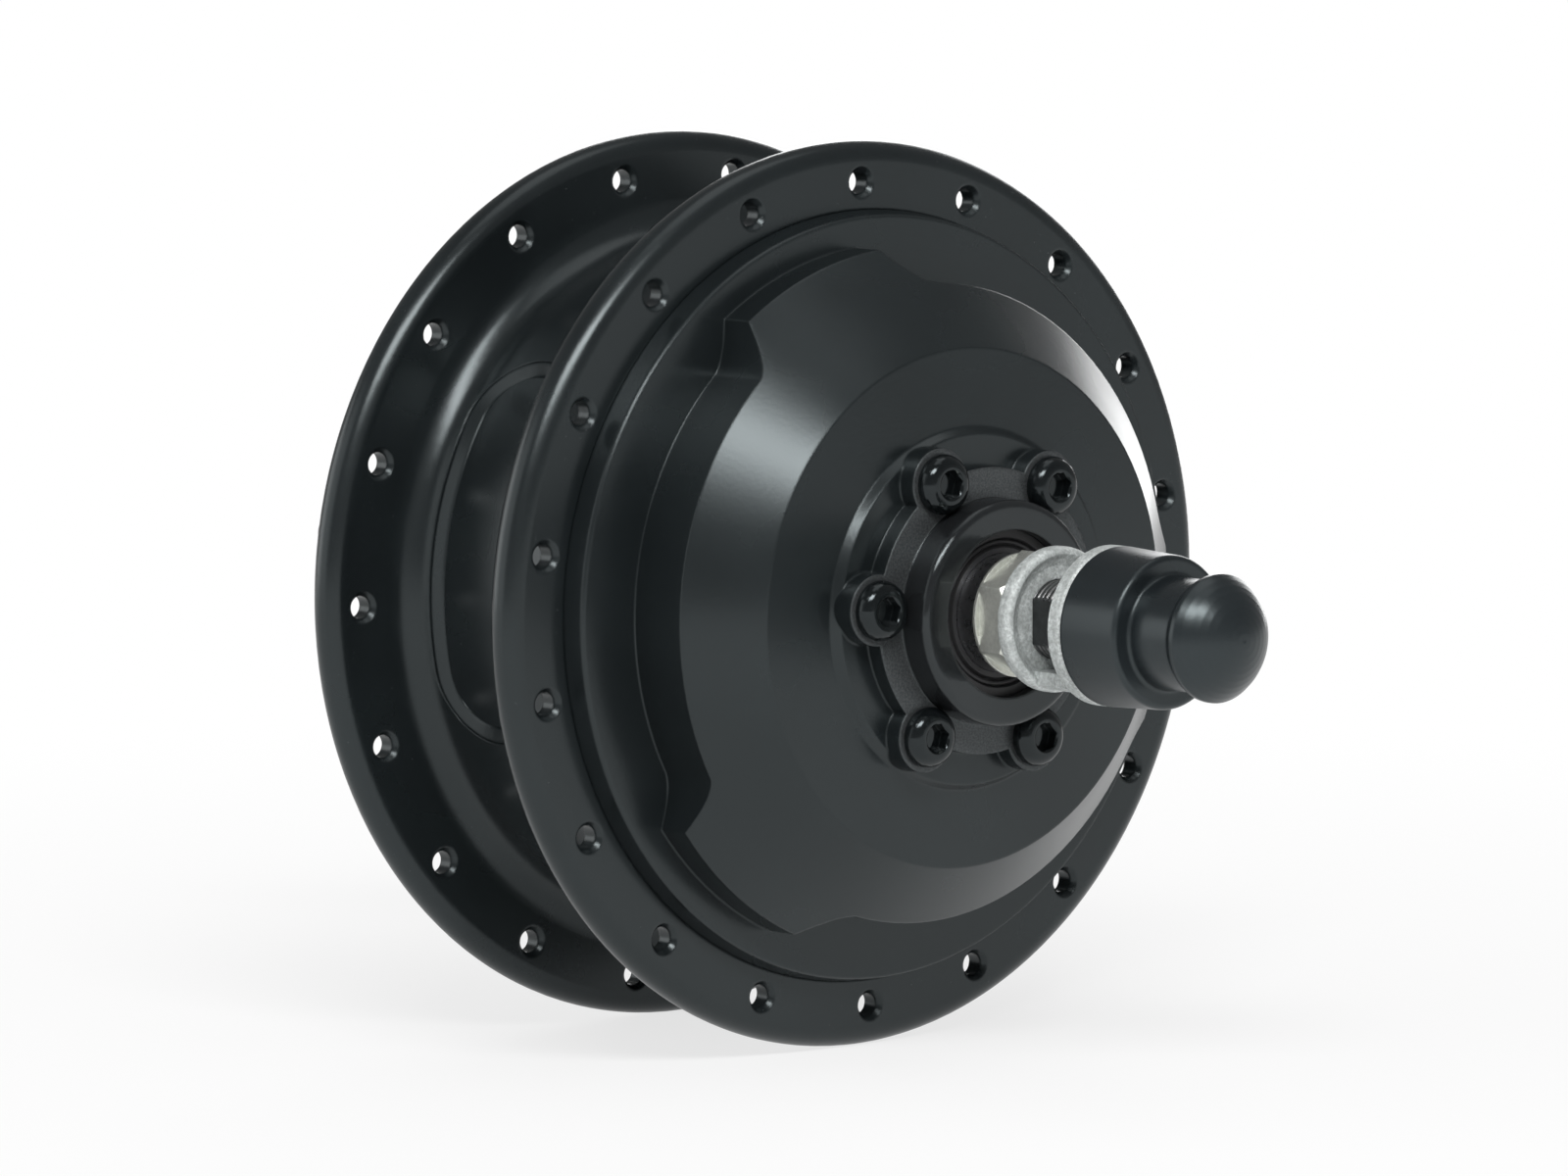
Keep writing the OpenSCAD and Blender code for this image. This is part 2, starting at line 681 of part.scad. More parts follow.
module rotor_disc_bearing_outer_race() color(steel) on_axle()
    outer_race(rotor_bearing_r, axle_r, rotor_disc_z, rotor_bearing_w);

module rotor_disc_bearing_inner_race() color(steel) on_axle()
    inner_race(rotor_bearing_r, axle_r, rotor_disc_z, rotor_bearing_w);

module rotor_disc_bearing_balls() color(zinc) on_axle()
    ball_set(rotor_bearing_r, axle_r, rotor_disc_z, rotor_bearing_w, 9);

// The two flats on one end of the axle
module axle_flats(from, to) {
    for (side = [0, 180]) rotate([0, 0, side])
        translate([flats_w / 2, -axle_r - 1, from]) cube([axle_r, 2 * axle_r + 2, to - from]);
}

module axle() color([0.1, 0.1, 0.11]) on_axle() {
    key_z = cam_z + 1;
    difference() {
        turned([[0, -axle_end_z], [axle_r - 0.8, -axle_end_z], [axle_r, 0.8 - axle_end_z],
                [axle_r, -lock_in_z], [seat_r, -lock_in_z],
                [seat_r, rotor_shoulder_z], [core_r, rotor_shoulder_z],
                [core_r, rotor_disc_z], [axle_r, rotor_disc_z], [axle_r, axle_end_z - 0.8],
                [axle_r - 0.8, axle_end_z], [0, axle_end_z]]);
        axle_flats(half_width, axle_end_z + 1);
        axle_flats(-axle_end_z - 1, -half_width);
        rod(cable_bore_r, -axle_end_z - 1, axle_end_z + 1 + stack_z + 1);
        translate([-lead_slot_w / 2, 0, rotor_shoulder_z + 0.6])
            cube([lead_slot_w, core_r + 1, stack_z - rotor_shoulder_z]);
        translate([-key_w / 2, axle_r - key_t / 2, key_z]) cube([key_w, key_t, clutch_len - 2]);
    }
}

module cable_grommet() color(rubber) on_axle() {
    stem = 6;
    turned(concat(
        [[cable_hole_r, stem - axle_end_z], [cable_hole_r, -end_z], [nose_r - 1.5, -end_z]],
        arc(nose_r - 1.5, 1.5 - end_z, 1.5, 270, 360),
        [[nose_r, -axle_end_z], [cable_bore_r - press_gap, -axle_end_z],
         [cable_bore_r - press_gap, stem - axle_end_z]]));
}

// A hexagon nut with a round rim on its inner end and a chamfered outer end
module lock_nut() {
    corner = lock_af / sqrt(3);
    chamfer = corner - lock_af / 2 + 0.4;
    difference() {
        union() {
            intersection() {
                translate([0, 0, lock_in_z + lock_rim_h]) rotate([0, 0, 30])
                    linear_extrude(lock_h - lock_rim_h) hexagon(lock_af);
                turned([[0, lock_in_z], [corner + 1, lock_in_z], [corner + 1, half_width - chamfer - 1],
                        [corner - chamfer, half_width], [0, half_width]]);
            }
            rod(lock_af / 2 + lock_rim, lock_in_z, lock_rim_h);
        }
        rod(axle_r + press_gap, lock_in_z - 1, lock_h + 2);
    }
}

module disc_side_lock_nut() color(cream) on_axle() lock_nut();

module drive_side_lock_nut() color(cream) on_axle() mirror([0, 0, 1]) lock_nut();

// A hollow-faced washer with a flatted hole and a tab bent outwards into the dropout slot
module torque_washer() {
    edge = 1.1;
    slope_w = 1.8;
    difference() {
        union() {
            turned(concat([[0, half_width]],
                arc(torque_r - edge, half_width + edge, edge, 270, 360),
                arc(torque_r - edge, gap_in_z - edge, edge, 0, 90),
                [[torque_r - edge - slope_w / 2, gap_in_z - torque_hollow * 0.6],
                 [torque_r - edge - slope_w, gap_in_z - torque_hollow], [0, gap_in_z - torque_hollow]]));
            intersection() {
                rod(torque_r - 0.4, half_width, torque_t + tab_len);
                translate([-flats_w / 2 + 0.1, -torque_r, half_width + 1])
                    cube([flats_w - 0.2, tab_t, torque_t + tab_len - 1]);
            }
        }
        translate([0, 0, half_width - 1]) linear_extrude(torque_t + 2) intersection() {
            circle(r = axle_r + run_gap, $fn = round_fn);
            square([flats_w + 2 * run_gap, 3 * axle_r], center = true);
        }
    }
}

module disc_side_torque_washer() color(zinc) on_axle() torque_washer();

module drive_side_torque_washer() color(zinc) on_axle() mirror([0, 0, 1]) torque_washer();

module washer() {
    edge = 0.5;
    difference() {
        turned([[0, gap_out_z], [washer_r - edge, gap_out_z], [washer_r, gap_out_z + edge],
                [washer_r, nut_z - edge], [washer_r - edge, nut_z], [0, nut_z]]);
        rod(axle_r + run_gap, gap_out_z - 1, washer_t + 2);
    }
}

module disc_side_washer() color(zinc) on_axle() washer();

module drive_side_washer() color(zinc) on_axle() mirror([0, 0, 1]) washer();

// A hexagon nut with both ends chamfered
module axle_nut() {
    corner = nut_af / sqrt(3);
    difference() {
        intersection() {
            translate([0, 0, nut_z]) rotate([0, 0, 30]) linear_extrude(nut_h) hexagon(nut_af);
            turned([[0, nut_z], [corner - 0.8, nut_z], [corner, nut_z + 0.5], [corner, nut_end_z - 0.5],
                    [corner - 0.8, nut_end_z], [0, nut_end_z]]);
        }
        rod(axle_r + press_gap, nut_z - 1, nut_h + 2);
    }
}

module disc_side_axle_nut() color(zinc) on_axle() axle_nut();

module drive_side_axle_nut() color(zinc) on_axle() mirror([0, 0, 1]) axle_nut();

// Rubber cap: skirt over the nut, neck over the axle's end, and a domed head
module axle_cap() color(rubber) on_axle() {
    front_z = nut_end_z + 1;
    rim_z = end_z - head_h;
    cap_sphere_r = (pow(head_r, 2) + pow(head_h, 2)) / (2 * head_h);
    half = asin(head_r / cap_sphere_r);
    difference() {
        turned(concat(
            [[0, nut_z + 0.2], [cap_r, nut_z + 0.2], [cap_r - 0.5, front_z - 0.8]],
            arc(cap_r - 1.3, front_z - 0.8, 0.8, 0, 90),
            arc(neck_r + 0.6, front_z + 0.6, 0.6, 270, 180),
            [[neck_r - 0.2, rim_z - 2.6]],
            arc(head_r - 0.7, rim_z - 0.7, 0.7, 270, 360),
            [for (i = [0 : 9]) let (a = half * (1 - i / 9))
                [cap_sphere_r * sin(a), end_z - cap_sphere_r + cap_sphere_r * cos(a)]]));
        rod(skirt_in_cap_r, nut_z - 1, nut_h + 1 + press_gap);
        rod(axle_r + press_gap, nut_z, axle_end_z - nut_z + 0.2);
    }
}

module disc_side_sleeve() color(steel) on_axle()
    ring(sleeve_r, axle_r + press_gap, disc_bearing_top_z, lock_in_z - disc_bearing_top_z);

module drive_side_sleeve() color(steel) on_axle()
    ring(sleeve_r, seat_r + press_gap, -lock_in_z, lock_in_z + drive_bearing_z);

module bearing_spacer() color(steel) on_axle()
    ring(sleeve_r + 0.4, seat_r + press_gap, drive_bearing_z + drive_bearing_w,
        rotor_drive_z - drive_bearing_z - drive_bearing_w);

// Spider that carries the stator core on the axle
module stator_hub() color(zinc) on_axle() {
    spider_z = stack_z + 2;
    spider_h = rotor_disc_z - 1.2 - spider_z;
    difference() {
        ring(stator_bore_r - press_gap, core_r + press_gap, spider_z, spider_h);
        around(6) translate([(stator_bore_r + core_r) / 2, 0, spider_z - 1])
            cylinder(r = 2.6, h = spider_h + 2, $fn = 32);
    }
}

module stator_core() color(steel) on_axle() {
    tip_w = 2 * PI * stator_r / stator_teeth - 2.4;
    translate([0, 0, stack_z]) linear_extrude(stack_len) difference() {
        union() {
            circle(r = slot_floor_r, $fn = round_fn);
            intersection() {
                circle(r = stator_r, $fn = round_fn);
                around(stator_teeth) {
                    translate([slot_floor_r - 1, -tooth_w / 2]) square([stator_r - slot_floor_r, tooth_w]);
                    translate([stator_r - 1.8, -tip_w / 2]) square([3, tip_w]);
                }
            }
        }
        circle(r = stator_bore_r, $fn = round_fn);
    }
}

// One coil wound round each tooth
module stator_coils() color(copper) on_axle() {
    inner = slot_floor_r + 1.4;
    depth = stator_r - 2.4 - inner;
    coil_w = tooth_w + 2 * coil_t;
    around(stator_teeth) translate([inner, 0, stack_z + stack_len / 2]) rotate([0, 90, 0])
        linear_extrude(depth) difference() {
            square([stack_len + 2 * end_turn - 0.6, coil_w], center = true);
            square([stack_len + 2 * press_gap, tooth_w + 2 * press_gap], center = true);
        }
}

module hall_board() color([0.1, 0.35, 0.2]) on_axle()
    ring(slot_floor_r - 0.4, core_r + 3, stack_z - 1.6, 1.6);

module rotor_can() color(steel) on_axle()
    ring(can_r, can_in_r, end_plate_top_z, gear_plate_z - end_plate_top_z);

module rotor_magnets() color([0.35, 0.36, 0.38]) on_axle() {
    share = 0.84;
    around(magnet_count) translate([0, 0, stack_z])
        rotate_extrude(angle = 360 / magnet_count * share, $fn = round_fn)
            translate([magnet_in_r, 0]) square([magnet_t, stack_len]);
}

module rotor_gear_plate() color(zinc) on_axle() {
    hub_r = rotor_bearing_r + 3.5;
    difference() {
        union() {
            rod(can_r, gear_plate_z, plate_t);
            rod(hub_r, rotor_disc_z - 0.6, gear_plate_z - rotor_disc_z + 0.7);
        }
        rod(rotor_bearing_r + press_gap, rotor_disc_z - 1, rotor_bearing_w + 2);
        rod(rotor_bearing_r + 2 + press_gap, rotor_disc_top_z, plate_t + 1);
        around(6) translate([can_r * 0.62, 0, gear_plate_z - 1])
            cylinder(r = plate_hole_r, h = plate_t + 2, $fn = 48);
    }
}

module rotor_end_plate() color(zinc) on_axle() {
    hub_r = drive_bearing_r + 3;
    difference() {
        union() {
            rod(can_r, end_plate_top_z - end_plate_t, end_plate_t);
            rod(hub_r, rotor_drive_z, drive_bearing_w);
        }
        rod(drive_bearing_r + press_gap, rotor_drive_z - 1, drive_bearing_w + 2);
        around(6) translate([can_r * 0.66, 0, end_plate_top_z - plate_t - 1])
            cylinder(r = plate_hole_r, h = plate_t + 2, $fn = 48);
    }
}

// Sun gear with the flange that seats in the rotor's gear plate
module sun_gear() color(steel) on_axle() {
    difference() {
        union() {
            translate([0, 0, gear_plate_top_z]) linear_extrude(planet_top_z + 0.2 - gear_plate_top_z)
                polygon(gear_points(sun_teeth, sun_pitch_r - dedendum, sun_pitch_r + gear_module,
                    backlash, sun_phase));
            rod(rotor_bearing_r + 2, rotor_disc_top_z, gear_plate_top_z - rotor_disc_top_z);
        }
        rod(axle_r + clear_gap, rotor_disc_top_z - 1, planet_top_z - rotor_disc_top_z + 2);
    }
}

module planet_gear(i) {
    rotate([0, 0, planet_angle(i)]) translate([centre_r, 0, planet_z]) rotate([0, 0, -planet_angle(i)])
        linear_extrude(gear_w) difference() {
            polygon(gear_points(planet_teeth, planet_pitch_r - dedendum, planet_pitch_r + gear_module,
                backlash, planet_phase(i)));
            circle(r = planet_bearing_r + press_gap, $fn = 64);
        }
}

module planet_gear_1() color(nylon) on_axle() planet_gear(0);

module planet_gear_2() color(nylon) on_axle() planet_gear(1);

module planet_gear_3() color(nylon) on_axle() planet_gear(2);

module planet_bearing(i) {
    rotate([0, 0, planet_angle(i)]) translate([centre_r, 0, 0])
        ring(planet_bearing_r, pin_r + run_gap, planet_z, gear_w);
}

module planet_bearing_1() color(steel) on_axle() planet_bearing(0);

module planet_bearing_2() color(steel) on_axle() planet_bearing(1);

module planet_bearing_3() color(steel) on_axle() planet_bearing(2);

// Pins with a thin head that holds each planet up
module planet_pins() color(steel) on_axle() {
    head = 0.5;
    for (i = [0 : planets - 1]) rotate([0, 0, planet_angle(i)]) translate([centre_r, 0, 0]) {
        rod(pin_r, planet_z - head - 0.1, carrier_top_z - planet_z + head + 0.1);
        rod(pin_r + 1.8, planet_z - head - 0.1, head);
    }
}

module planet_carrier() color(zinc) on_axle() {
    difference() {
        union() {
            rod(carrier_r, carrier_z, carrier_t);
            rod(clutch_r, carrier_z, clutch_top_z - carrier_z);
        }
        rod(track_r, cam_z, clutch_len + 1);
        rod(track_r - 3, carrier_z - 1, 3);
        for (i = [0 : planets - 1]) rotate([0, 0, planet_angle(i)]) {
            translate([centre_r, 0, 0]) rod(pin_r + press_gap, carrier_z - 1, carrier_t + 2);
            rotate([0, 0, 60]) translate([centre_r + 0.6, 0, 0]) rod(3, carrier_z - 1, carrier_t + 2);
        }
    }
}

// Inner cam of the one-way clutch, with a ramped pocket for each roller
module clutch_cam() color(steel) on_axle() {
    floor_r = track_r - 2 * roller_r - 2 * run_gap;
    translate([0, 0, cam_z]) linear_extrude(clutch_len) difference() {
        circle(r = track_r - 0.4, $fn = round_fn);
        around(roller_count) rotate([0, 0, 4]) translate([floor_r, -roller_r - 0.1])
            square([3 * roller_r, 2 * roller_r + 1.2]);
        circle(r = axle_r + press_gap, $fn = 64);
        translate([-key_w / 2 - press_gap, 0])
            square([key_w + 2 * press_gap, axle_r + key_t / 2 + press_gap]);
    }
}

module clutch_rollers() color(zinc) on_axle() {
    around(roller_count) rotate([0, 0, 4])
        translate([track_r - roller_r - run_gap, 0.2, cam_z + 0.5])
            cylinder(r = roller_r, h = clutch_len - 1, $fn = 32);
}

module clutch_key() color(steel) on_axle()
    translate([-key_w / 2 + press_gap, axle_r - key_t / 2 + press_gap, cam_z + 1 + press_gap])
        cube([key_w - 2 * press_gap, key_t - press_gap, clutch_len - 2 - 2 * press_gap]);

module clutch_spacer() color(steel) on_axle()
    ring(sleeve_r, axle_r + press_gap, clutch_top_z, disc_bearing_z - clutch_top_z);

module thrust_washer() color(steel) on_axle()
    ring(track_r - washer_inset, axle_r + press_gap, planet_top_z + 0.4, cam_z - planet_top_z - 0.4);

hub_shell();
side_cover();
disc_screws();
ring_gear();
disc_side_seal();
drive_side_seal();
disc_bearing_outer_race();
drive_bearing_outer_race();
axle();
cable_grommet();
axle_cap();
disc_side_lock_nut();
drive_side_lock_nut();
disc_side_torque_washer();
drive_side_torque_washer();
disc_side_washer();
drive_side_washer();
disc_side_axle_nut();
drive_side_axle_nut();
disc_side_sleeve();
drive_side_sleeve();
bearing_spacer();
disc_bearing_inner_race();
drive_bearing_inner_race();
rotor_disc_bearing_inner_race();
rotor_drive_bearing_inner_race();
disc_bearing_balls();
drive_bearing_balls();
rotor_disc_bearing_balls();
rotor_drive_bearing_balls();
stator_hub();
stator_core();
stator_coils();
hall_board();
rotor_can();
rotor_magnets();
rotor_gear_plate();
rotor_end_plate();
rotor_disc_bearing_outer_race();
rotor_drive_bearing_outer_race();
sun_gear();
planet_gear_1();
planet_gear_2();
planet_gear_3();
planet_bearing_1();
planet_bearing_2();
planet_bearing_3();
planet_pins();
planet_carrier();
clutch_cam();
clutch_rollers();
clutch_key();
clutch_spacer();
thrust_washer();
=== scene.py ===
"""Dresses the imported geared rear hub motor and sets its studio.

Lengths are in metres. The axle lies along Y, the brake disc side towards -Y and Z points up.
"""

import logging
import math
from dataclasses import dataclass, field
from enum import Enum
from typing import Any, Mapping, Sequence

import bmesh
import bpy
from mathutils import Matrix, Vector


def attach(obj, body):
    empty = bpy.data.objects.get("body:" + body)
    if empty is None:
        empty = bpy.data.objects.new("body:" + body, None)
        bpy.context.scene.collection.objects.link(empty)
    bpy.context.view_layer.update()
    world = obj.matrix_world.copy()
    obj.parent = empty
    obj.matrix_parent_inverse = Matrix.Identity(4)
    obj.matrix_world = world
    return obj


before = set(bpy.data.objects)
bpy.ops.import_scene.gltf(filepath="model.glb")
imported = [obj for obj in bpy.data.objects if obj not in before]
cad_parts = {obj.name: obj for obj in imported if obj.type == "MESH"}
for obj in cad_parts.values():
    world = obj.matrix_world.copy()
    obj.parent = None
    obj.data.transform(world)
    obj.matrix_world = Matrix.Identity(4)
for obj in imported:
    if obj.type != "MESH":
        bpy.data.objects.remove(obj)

log = logging.getLogger("hub_motor")
Colour = tuple[float, float, float]
Point = tuple[float, float, float]
Span = tuple[float, float]
MM = 0.001
MERGE_NEAR = 0.002 * MM
CUT_NEAR = 0.001 * MM
BEVEL_SAMPLES = 6
SHARP_FROM = math.radians(35)
NOISE_RANGE: Span = (0.3, 0.7)
WHITE = (1.0, 1.0, 1.0, 1.0)


class LineWay(Enum):
    """The way in which the lines of a striped finish follow one another."""

    ALONG_AXLE = "along the axle"
    OUT_FROM_AXLE = "out from the axle"


class Wire:
    """A shader value that adds Math nodes as it is used in an expression."""

    def __init__(self, graph: "Graph", socket: bpy.types.NodeSocket) -> None:
        """Keeps the graph that new nodes go to and the socket that gives the value."""
        self.graph = graph
        self.socket = socket

    def maths(self, operation: str, *others: "Wire | float", first: bool = True) -> "Wire":
        """Adds one Math node.

        Args:
            operation: The node's operation, such as "ADD".
            others: The other values that it takes.
            first: True if this value comes before the others.

        Returns:
            The node's result.
        """
        values = [self, *others] if first else [*others, self]
        return self.graph.node("ShaderNodeMath", {"operation": operation}, dict(enumerate(values)))

    def __add__(self, other: "Wire | float") -> "Wire":
        """Adds two values."""
        return self.maths("ADD", other)

    __radd__ = __add__

    def __sub__(self, other: "Wire | float") -> "Wire":
        """Takes the other value from this one."""
        return self.maths("SUBTRACT", other)

    def __rsub__(self, other: "Wire | float") -> "Wire":
        """Takes this value from the other one."""
        return self.maths("SUBTRACT", other, first=False)

    def __mul__(self, other: "Wire | float") -> "Wire":
        """Multiplies two values."""
        return self.maths("MULTIPLY", other)

    __rmul__ = __mul__

    def step(self, low: float, high: float, start: float = 0.0, end: float = 1.0) -> "Wire":
        """Turns the value smoothly from start to end.

        Args:
            low: The value at which the change starts.
            high: The value at which it ends.
            start: The result up to low.
            end: The result from high on.

        Returns:
            The smoothed value.
        """
        settings = {"interpolation_type": "SMOOTHSTEP"}
        sockets = {"Value": self, "From Min": low, "From Max": high, "To Min": start, "To Max": end}
        return self.graph.node("ShaderNodeMapRange", settings, sockets)


class Graph:
    """The nodes of one material or of the world."""

    def __init__(self, tree: bpy.types.NodeTree) -> None:
        """Clears the tree, so that every node in it is made here."""
        self.tree = tree
        tree.nodes.clear()

    def node(
        self,
        kind: str,
        settings: Mapping[str, Any] | None = None,
        sockets: Mapping[str | int, Any] | None = None,
        outlet: str | int = 0,
    ) -> Wire:
        """Adds a node.

        Args:
            kind: The node's type, such as "ShaderNodeTexNoise".
            settings: Its properties, set before its sockets.
            sockets: Its inputs by name or number, each a number, a colour or a Wire.
            outlet: The output that the returned Wire holds.

        Returns:
            The chosen output.
        """
        made = self.tree.nodes.new(kind)
        for name, value in (settings or {}).items():
            setattr(made, name, value)
        for name, value in (sockets or {}).items():
            if isinstance(value, Wire):
                self.tree.links.new(value.socket, made.inputs[name])
            else:
                made.inputs[name].default_value = value
        return Wire(self, made.outputs[outlet]) if made.outputs else Wire(self, None)

    def noise(self, scale: float, detail: float = 2.0, rough: float = 0.5) -> Wire:
        """Noise of a given scale on the piece's own coordinates."""
        sockets = {"Vector": self.place(), "Scale": scale, "Detail": detail, "Roughness": rough}
        return self.node("ShaderNodeTexNoise", {}, sockets)

    def place(self) -> Wire:
        """The piece's own coordinates."""
        return self.node("ShaderNodeTexCoord", outlet="Object")

    def axes(self) -> tuple[Wire, Wire, Wire]:
        """Splits the piece's own coordinates.

        Returns:
            X, Y and Z of a point, one by one.
        """
        split = self.node("ShaderNodeSeparateXYZ", {}, {0: self.place()}, outlet="X")
        outputs = split.socket.node.outputs
        return split, Wire(self, outputs["Y"]), Wire(self, outputs["Z"])

    def from_axle(self) -> Wire:
        """Distance of a point from the axle's middle line."""
        x, _, z = self.axes()
        return (x * x + z * z).maths("SQRT")

    def blend(self, share: Wire | float, low: Any, high: Any) -> Wire:
        """Mixes two colours.

        Args:
            share: How much of the second colour shows, from 0 to 1.
            low: The colour at 0.
            high: The colour at 1.

        Returns:
            The mixed colour.
        """
        low = (*low, 1.0) if isinstance(low, tuple) else low
        high = (*high, 1.0) if isinstance(high, tuple) else high
        sockets = {0: share, 6: low, 7: high}
        return self.node("ShaderNodeMix", {"data_type": "RGBA"}, sockets, outlet=2)

    def bump(self, height: Wire, depth: float, strength: float, edge: float) -> Wire:
        """Relief from a height, on edges softened by a small radius.

        Args:
            height: The height, from 0 to 1.
            depth: What a height of 1 stands for.
            strength: The share of the relief that shows.
            edge: Radius to which sharp edges are softened.

        Returns:
            The normal.
        """
        sockets: dict[str | int, Any] = {"Height": height, "Distance": depth, "Strength": strength}
        if edge > 0:
            sockets["Normal"] = self.node("ShaderNodeBevel", {"samples": BEVEL_SAMPLES}, {"Radius": edge})
        return self.node("ShaderNodeBump", {}, sockets)


@dataclass(frozen=True)
class Finish:
    """A finish: what is the same all over it, and the way its surface varies.

    clouds holds the scale and the detail of a soft noise. Across cloud_band, a range of that
    noise, the colour goes from the first of shades to the second. rough_span is what the noise
    adds to rough at its low and at its high values.
    """

    name: str
    colour: Colour
    rough: float
    metallic: float = 0.0
    specular: float = 0.5
    tint: Colour = (1.0, 1.0, 1.0)
    coat: float = 0.0
    coat_rough: float = 0.1
    edge: float = 0.35 * MM
    grain: float = 1200.0
    relief: float = 0.03 * MM
    clouds: Span = (60.0, 4.0)
    cloud_band: Span = NOISE_RANGE
    shades: Span = (0.88, 1.12)
    rough_span: Span = (-0.03, 0.04)

    def material(self) -> bpy.types.Material:
        """Makes the finish's material, or gives the one that was made before.

        Its title differs from the names of the materials in model.glb.

        Returns:
            The material.
        """
        title = f"{self.name}_finish"
        made = bpy.data.materials.get(title)
        if made is not None:
            return made
        made = bpy.data.materials.new(title)
        made.use_nodes = True
        graph = Graph(made.node_tree)
        shader = graph.node("ShaderNodeBsdfPrincipled", {}, {
            "Metallic": self.metallic,
            "Specular IOR Level": self.specular,
            "Specular Tint": (*self.tint, 1.0),
            "Coat Weight": self.coat,
            "Coat Roughness": self.coat_rough,
        })
        self.vary(graph, shader.socket.node)
        graph.node("ShaderNodeOutputMaterial", {}, {"Surface": shader})
        return made

    def vary(self, graph: Graph, shader: bpy.types.Node) -> None:
        """Links the colour, roughness and relief that change over the surface.

        Args:
            graph: The material\'s nodes.
            shader: The shader that they feed.
        """
        cloud = graph.noise(*self.clouds)
        fine = graph.noise(self.grain, 3.0)
        self.link(graph, shader, {
            "Base Color": self.clouded(graph, cloud),
            "Roughness": self.roughened(cloud),
            "Normal": graph.bump(fine, self.relief, 0.5, self.edge),
        })

    def clouded(self, graph: Graph, cloud: Wire) -> Wire:
        """The finish's colour, which changes with the clouds."""
        dark, light = self.shades
        return graph.blend(cloud.step(*self.cloud_band), self.shade(dark), self.shade(light))

    def roughened(self, cloud: Wire) -> Wire:
        """The finish's roughness, which changes with the clouds."""
        first, last = self.rough_span
        return cloud.step(*NOISE_RANGE, self.rough + first, self.rough + last)

    def shade(self, share: float) -> Colour:
        """The finish's colour, made lighter or darker."""
        return tuple(min(1.0, value * share) for value in self.colour)

    @staticmethod
    def link(graph: Graph, shader: bpy.types.Node, sockets: Mapping[str, Wire]) -> None:
        """Links values to the shader's sockets."""
        for name, value in sockets.items():
            graph.tree.links.new(value.socket, shader.inputs[name])


@dataclass(frozen=True)
class PowderCoat(Finish):
    """Satin powder coat on a casting, with an orange peel and a few dust specks."""

    clouds: Span = (38.0, 5.0)
    cloud_band: Span = (0.3, 0.72)
    shades: Span = (0.86, 1.16)
    rough_span: Span = (-0.025, 0.035)
    speck_scale: float = 2600.0
    speck_colour: Colour = (0.16, 0.165, 0.17)

    def vary(self, graph: Graph, shader: bpy.types.Node) -> None:
        """Links the coat's soft clouds, peel and specks.

        Args:
            graph: The material\'s nodes.
            shader: The shader that they feed.
        """
        cloud = graph.noise(*self.clouds)
        peel = graph.noise(self.grain, 2.0)
        fine = graph.noise(self.grain * 3.4, 2.0)
        speck = graph.noise(self.speck_scale, 1.0).step(0.79, 0.83)
        self.link(graph, shader, {
            "Base Color": graph.blend(speck * 0.5, self.clouded(graph, cloud), self.speck_colour),
            "Roughness": self.roughened(cloud) + speck * 0.1,
            "Normal": graph.bump(peel * 0.75 + fine * 0.25 + speck * 0.4, self.relief, 0.4, self.edge),
        })


@dataclass(frozen=True)
class MachinedCoat(PowderCoat):
    """The side cover's coat, with the disc's seat and the collar turned after coating."""

    seat_y: float = -53.6 * MM
    seat_inner: float = 17.2 * MM
    seam: Span = (0.02 * MM, 0.12 * MM)
    seat_colour: Colour = (0.075, 0.08, 0.082)
    seat_dark: Colour = (0.035, 0.038, 0.04)
    collar_colour: Colour = (0.012, 0.013, 0.014)
    grit_scale: float = 3000.0
    ring_scale: float = 9000.0

    def vary(self, graph: Graph, shader: bpy.types.Node) -> None:
        """Links the coat outside the seat and collar, and the turned metal on them.

        Args:
            graph: The material\'s nodes.
            shader: The shader that they feed.
        """
        _, y, _ = graph.axes()
        radius = graph.from_axle()
        near, far = self.seam
        ahead = y.step(self.seat_y - near, self.seat_y, 1.0, 0.0)
        outside = radius.step(self.seat_inner + near, self.seat_inner + far)
        seat = ahead * outside
        collar = ahead * (1.0 - outside)
        cloud = graph.noise(*self.clouds)
        grit = graph.noise(self.grit_scale, 4.0, 0.65)
        peel = graph.noise(self.grain, 2.0)
        rings = (radius * self.ring_scale).maths("SINE") * 0.5 + 0.5
        bare = graph.blend(grit.step(0.35, 0.65), self.seat_dark, self.seat_colour)
        coated = graph.blend(collar, self.clouded(graph, cloud), self.collar_colour)
        height = peel * (1.0 - seat) + (grit * 1.6 + rings * 0.1) * seat + rings * 0.15 * collar
        self.link(graph, shader, {
            "Base Color": graph.blend(seat, coated, bare),
            "Roughness": self.roughened(cloud) + seat * 0.1 - collar * 0.12,
            "Metallic": seat * 0.35,
            "Normal": graph.bump(height, self.relief, 0.45, self.edge),
        })


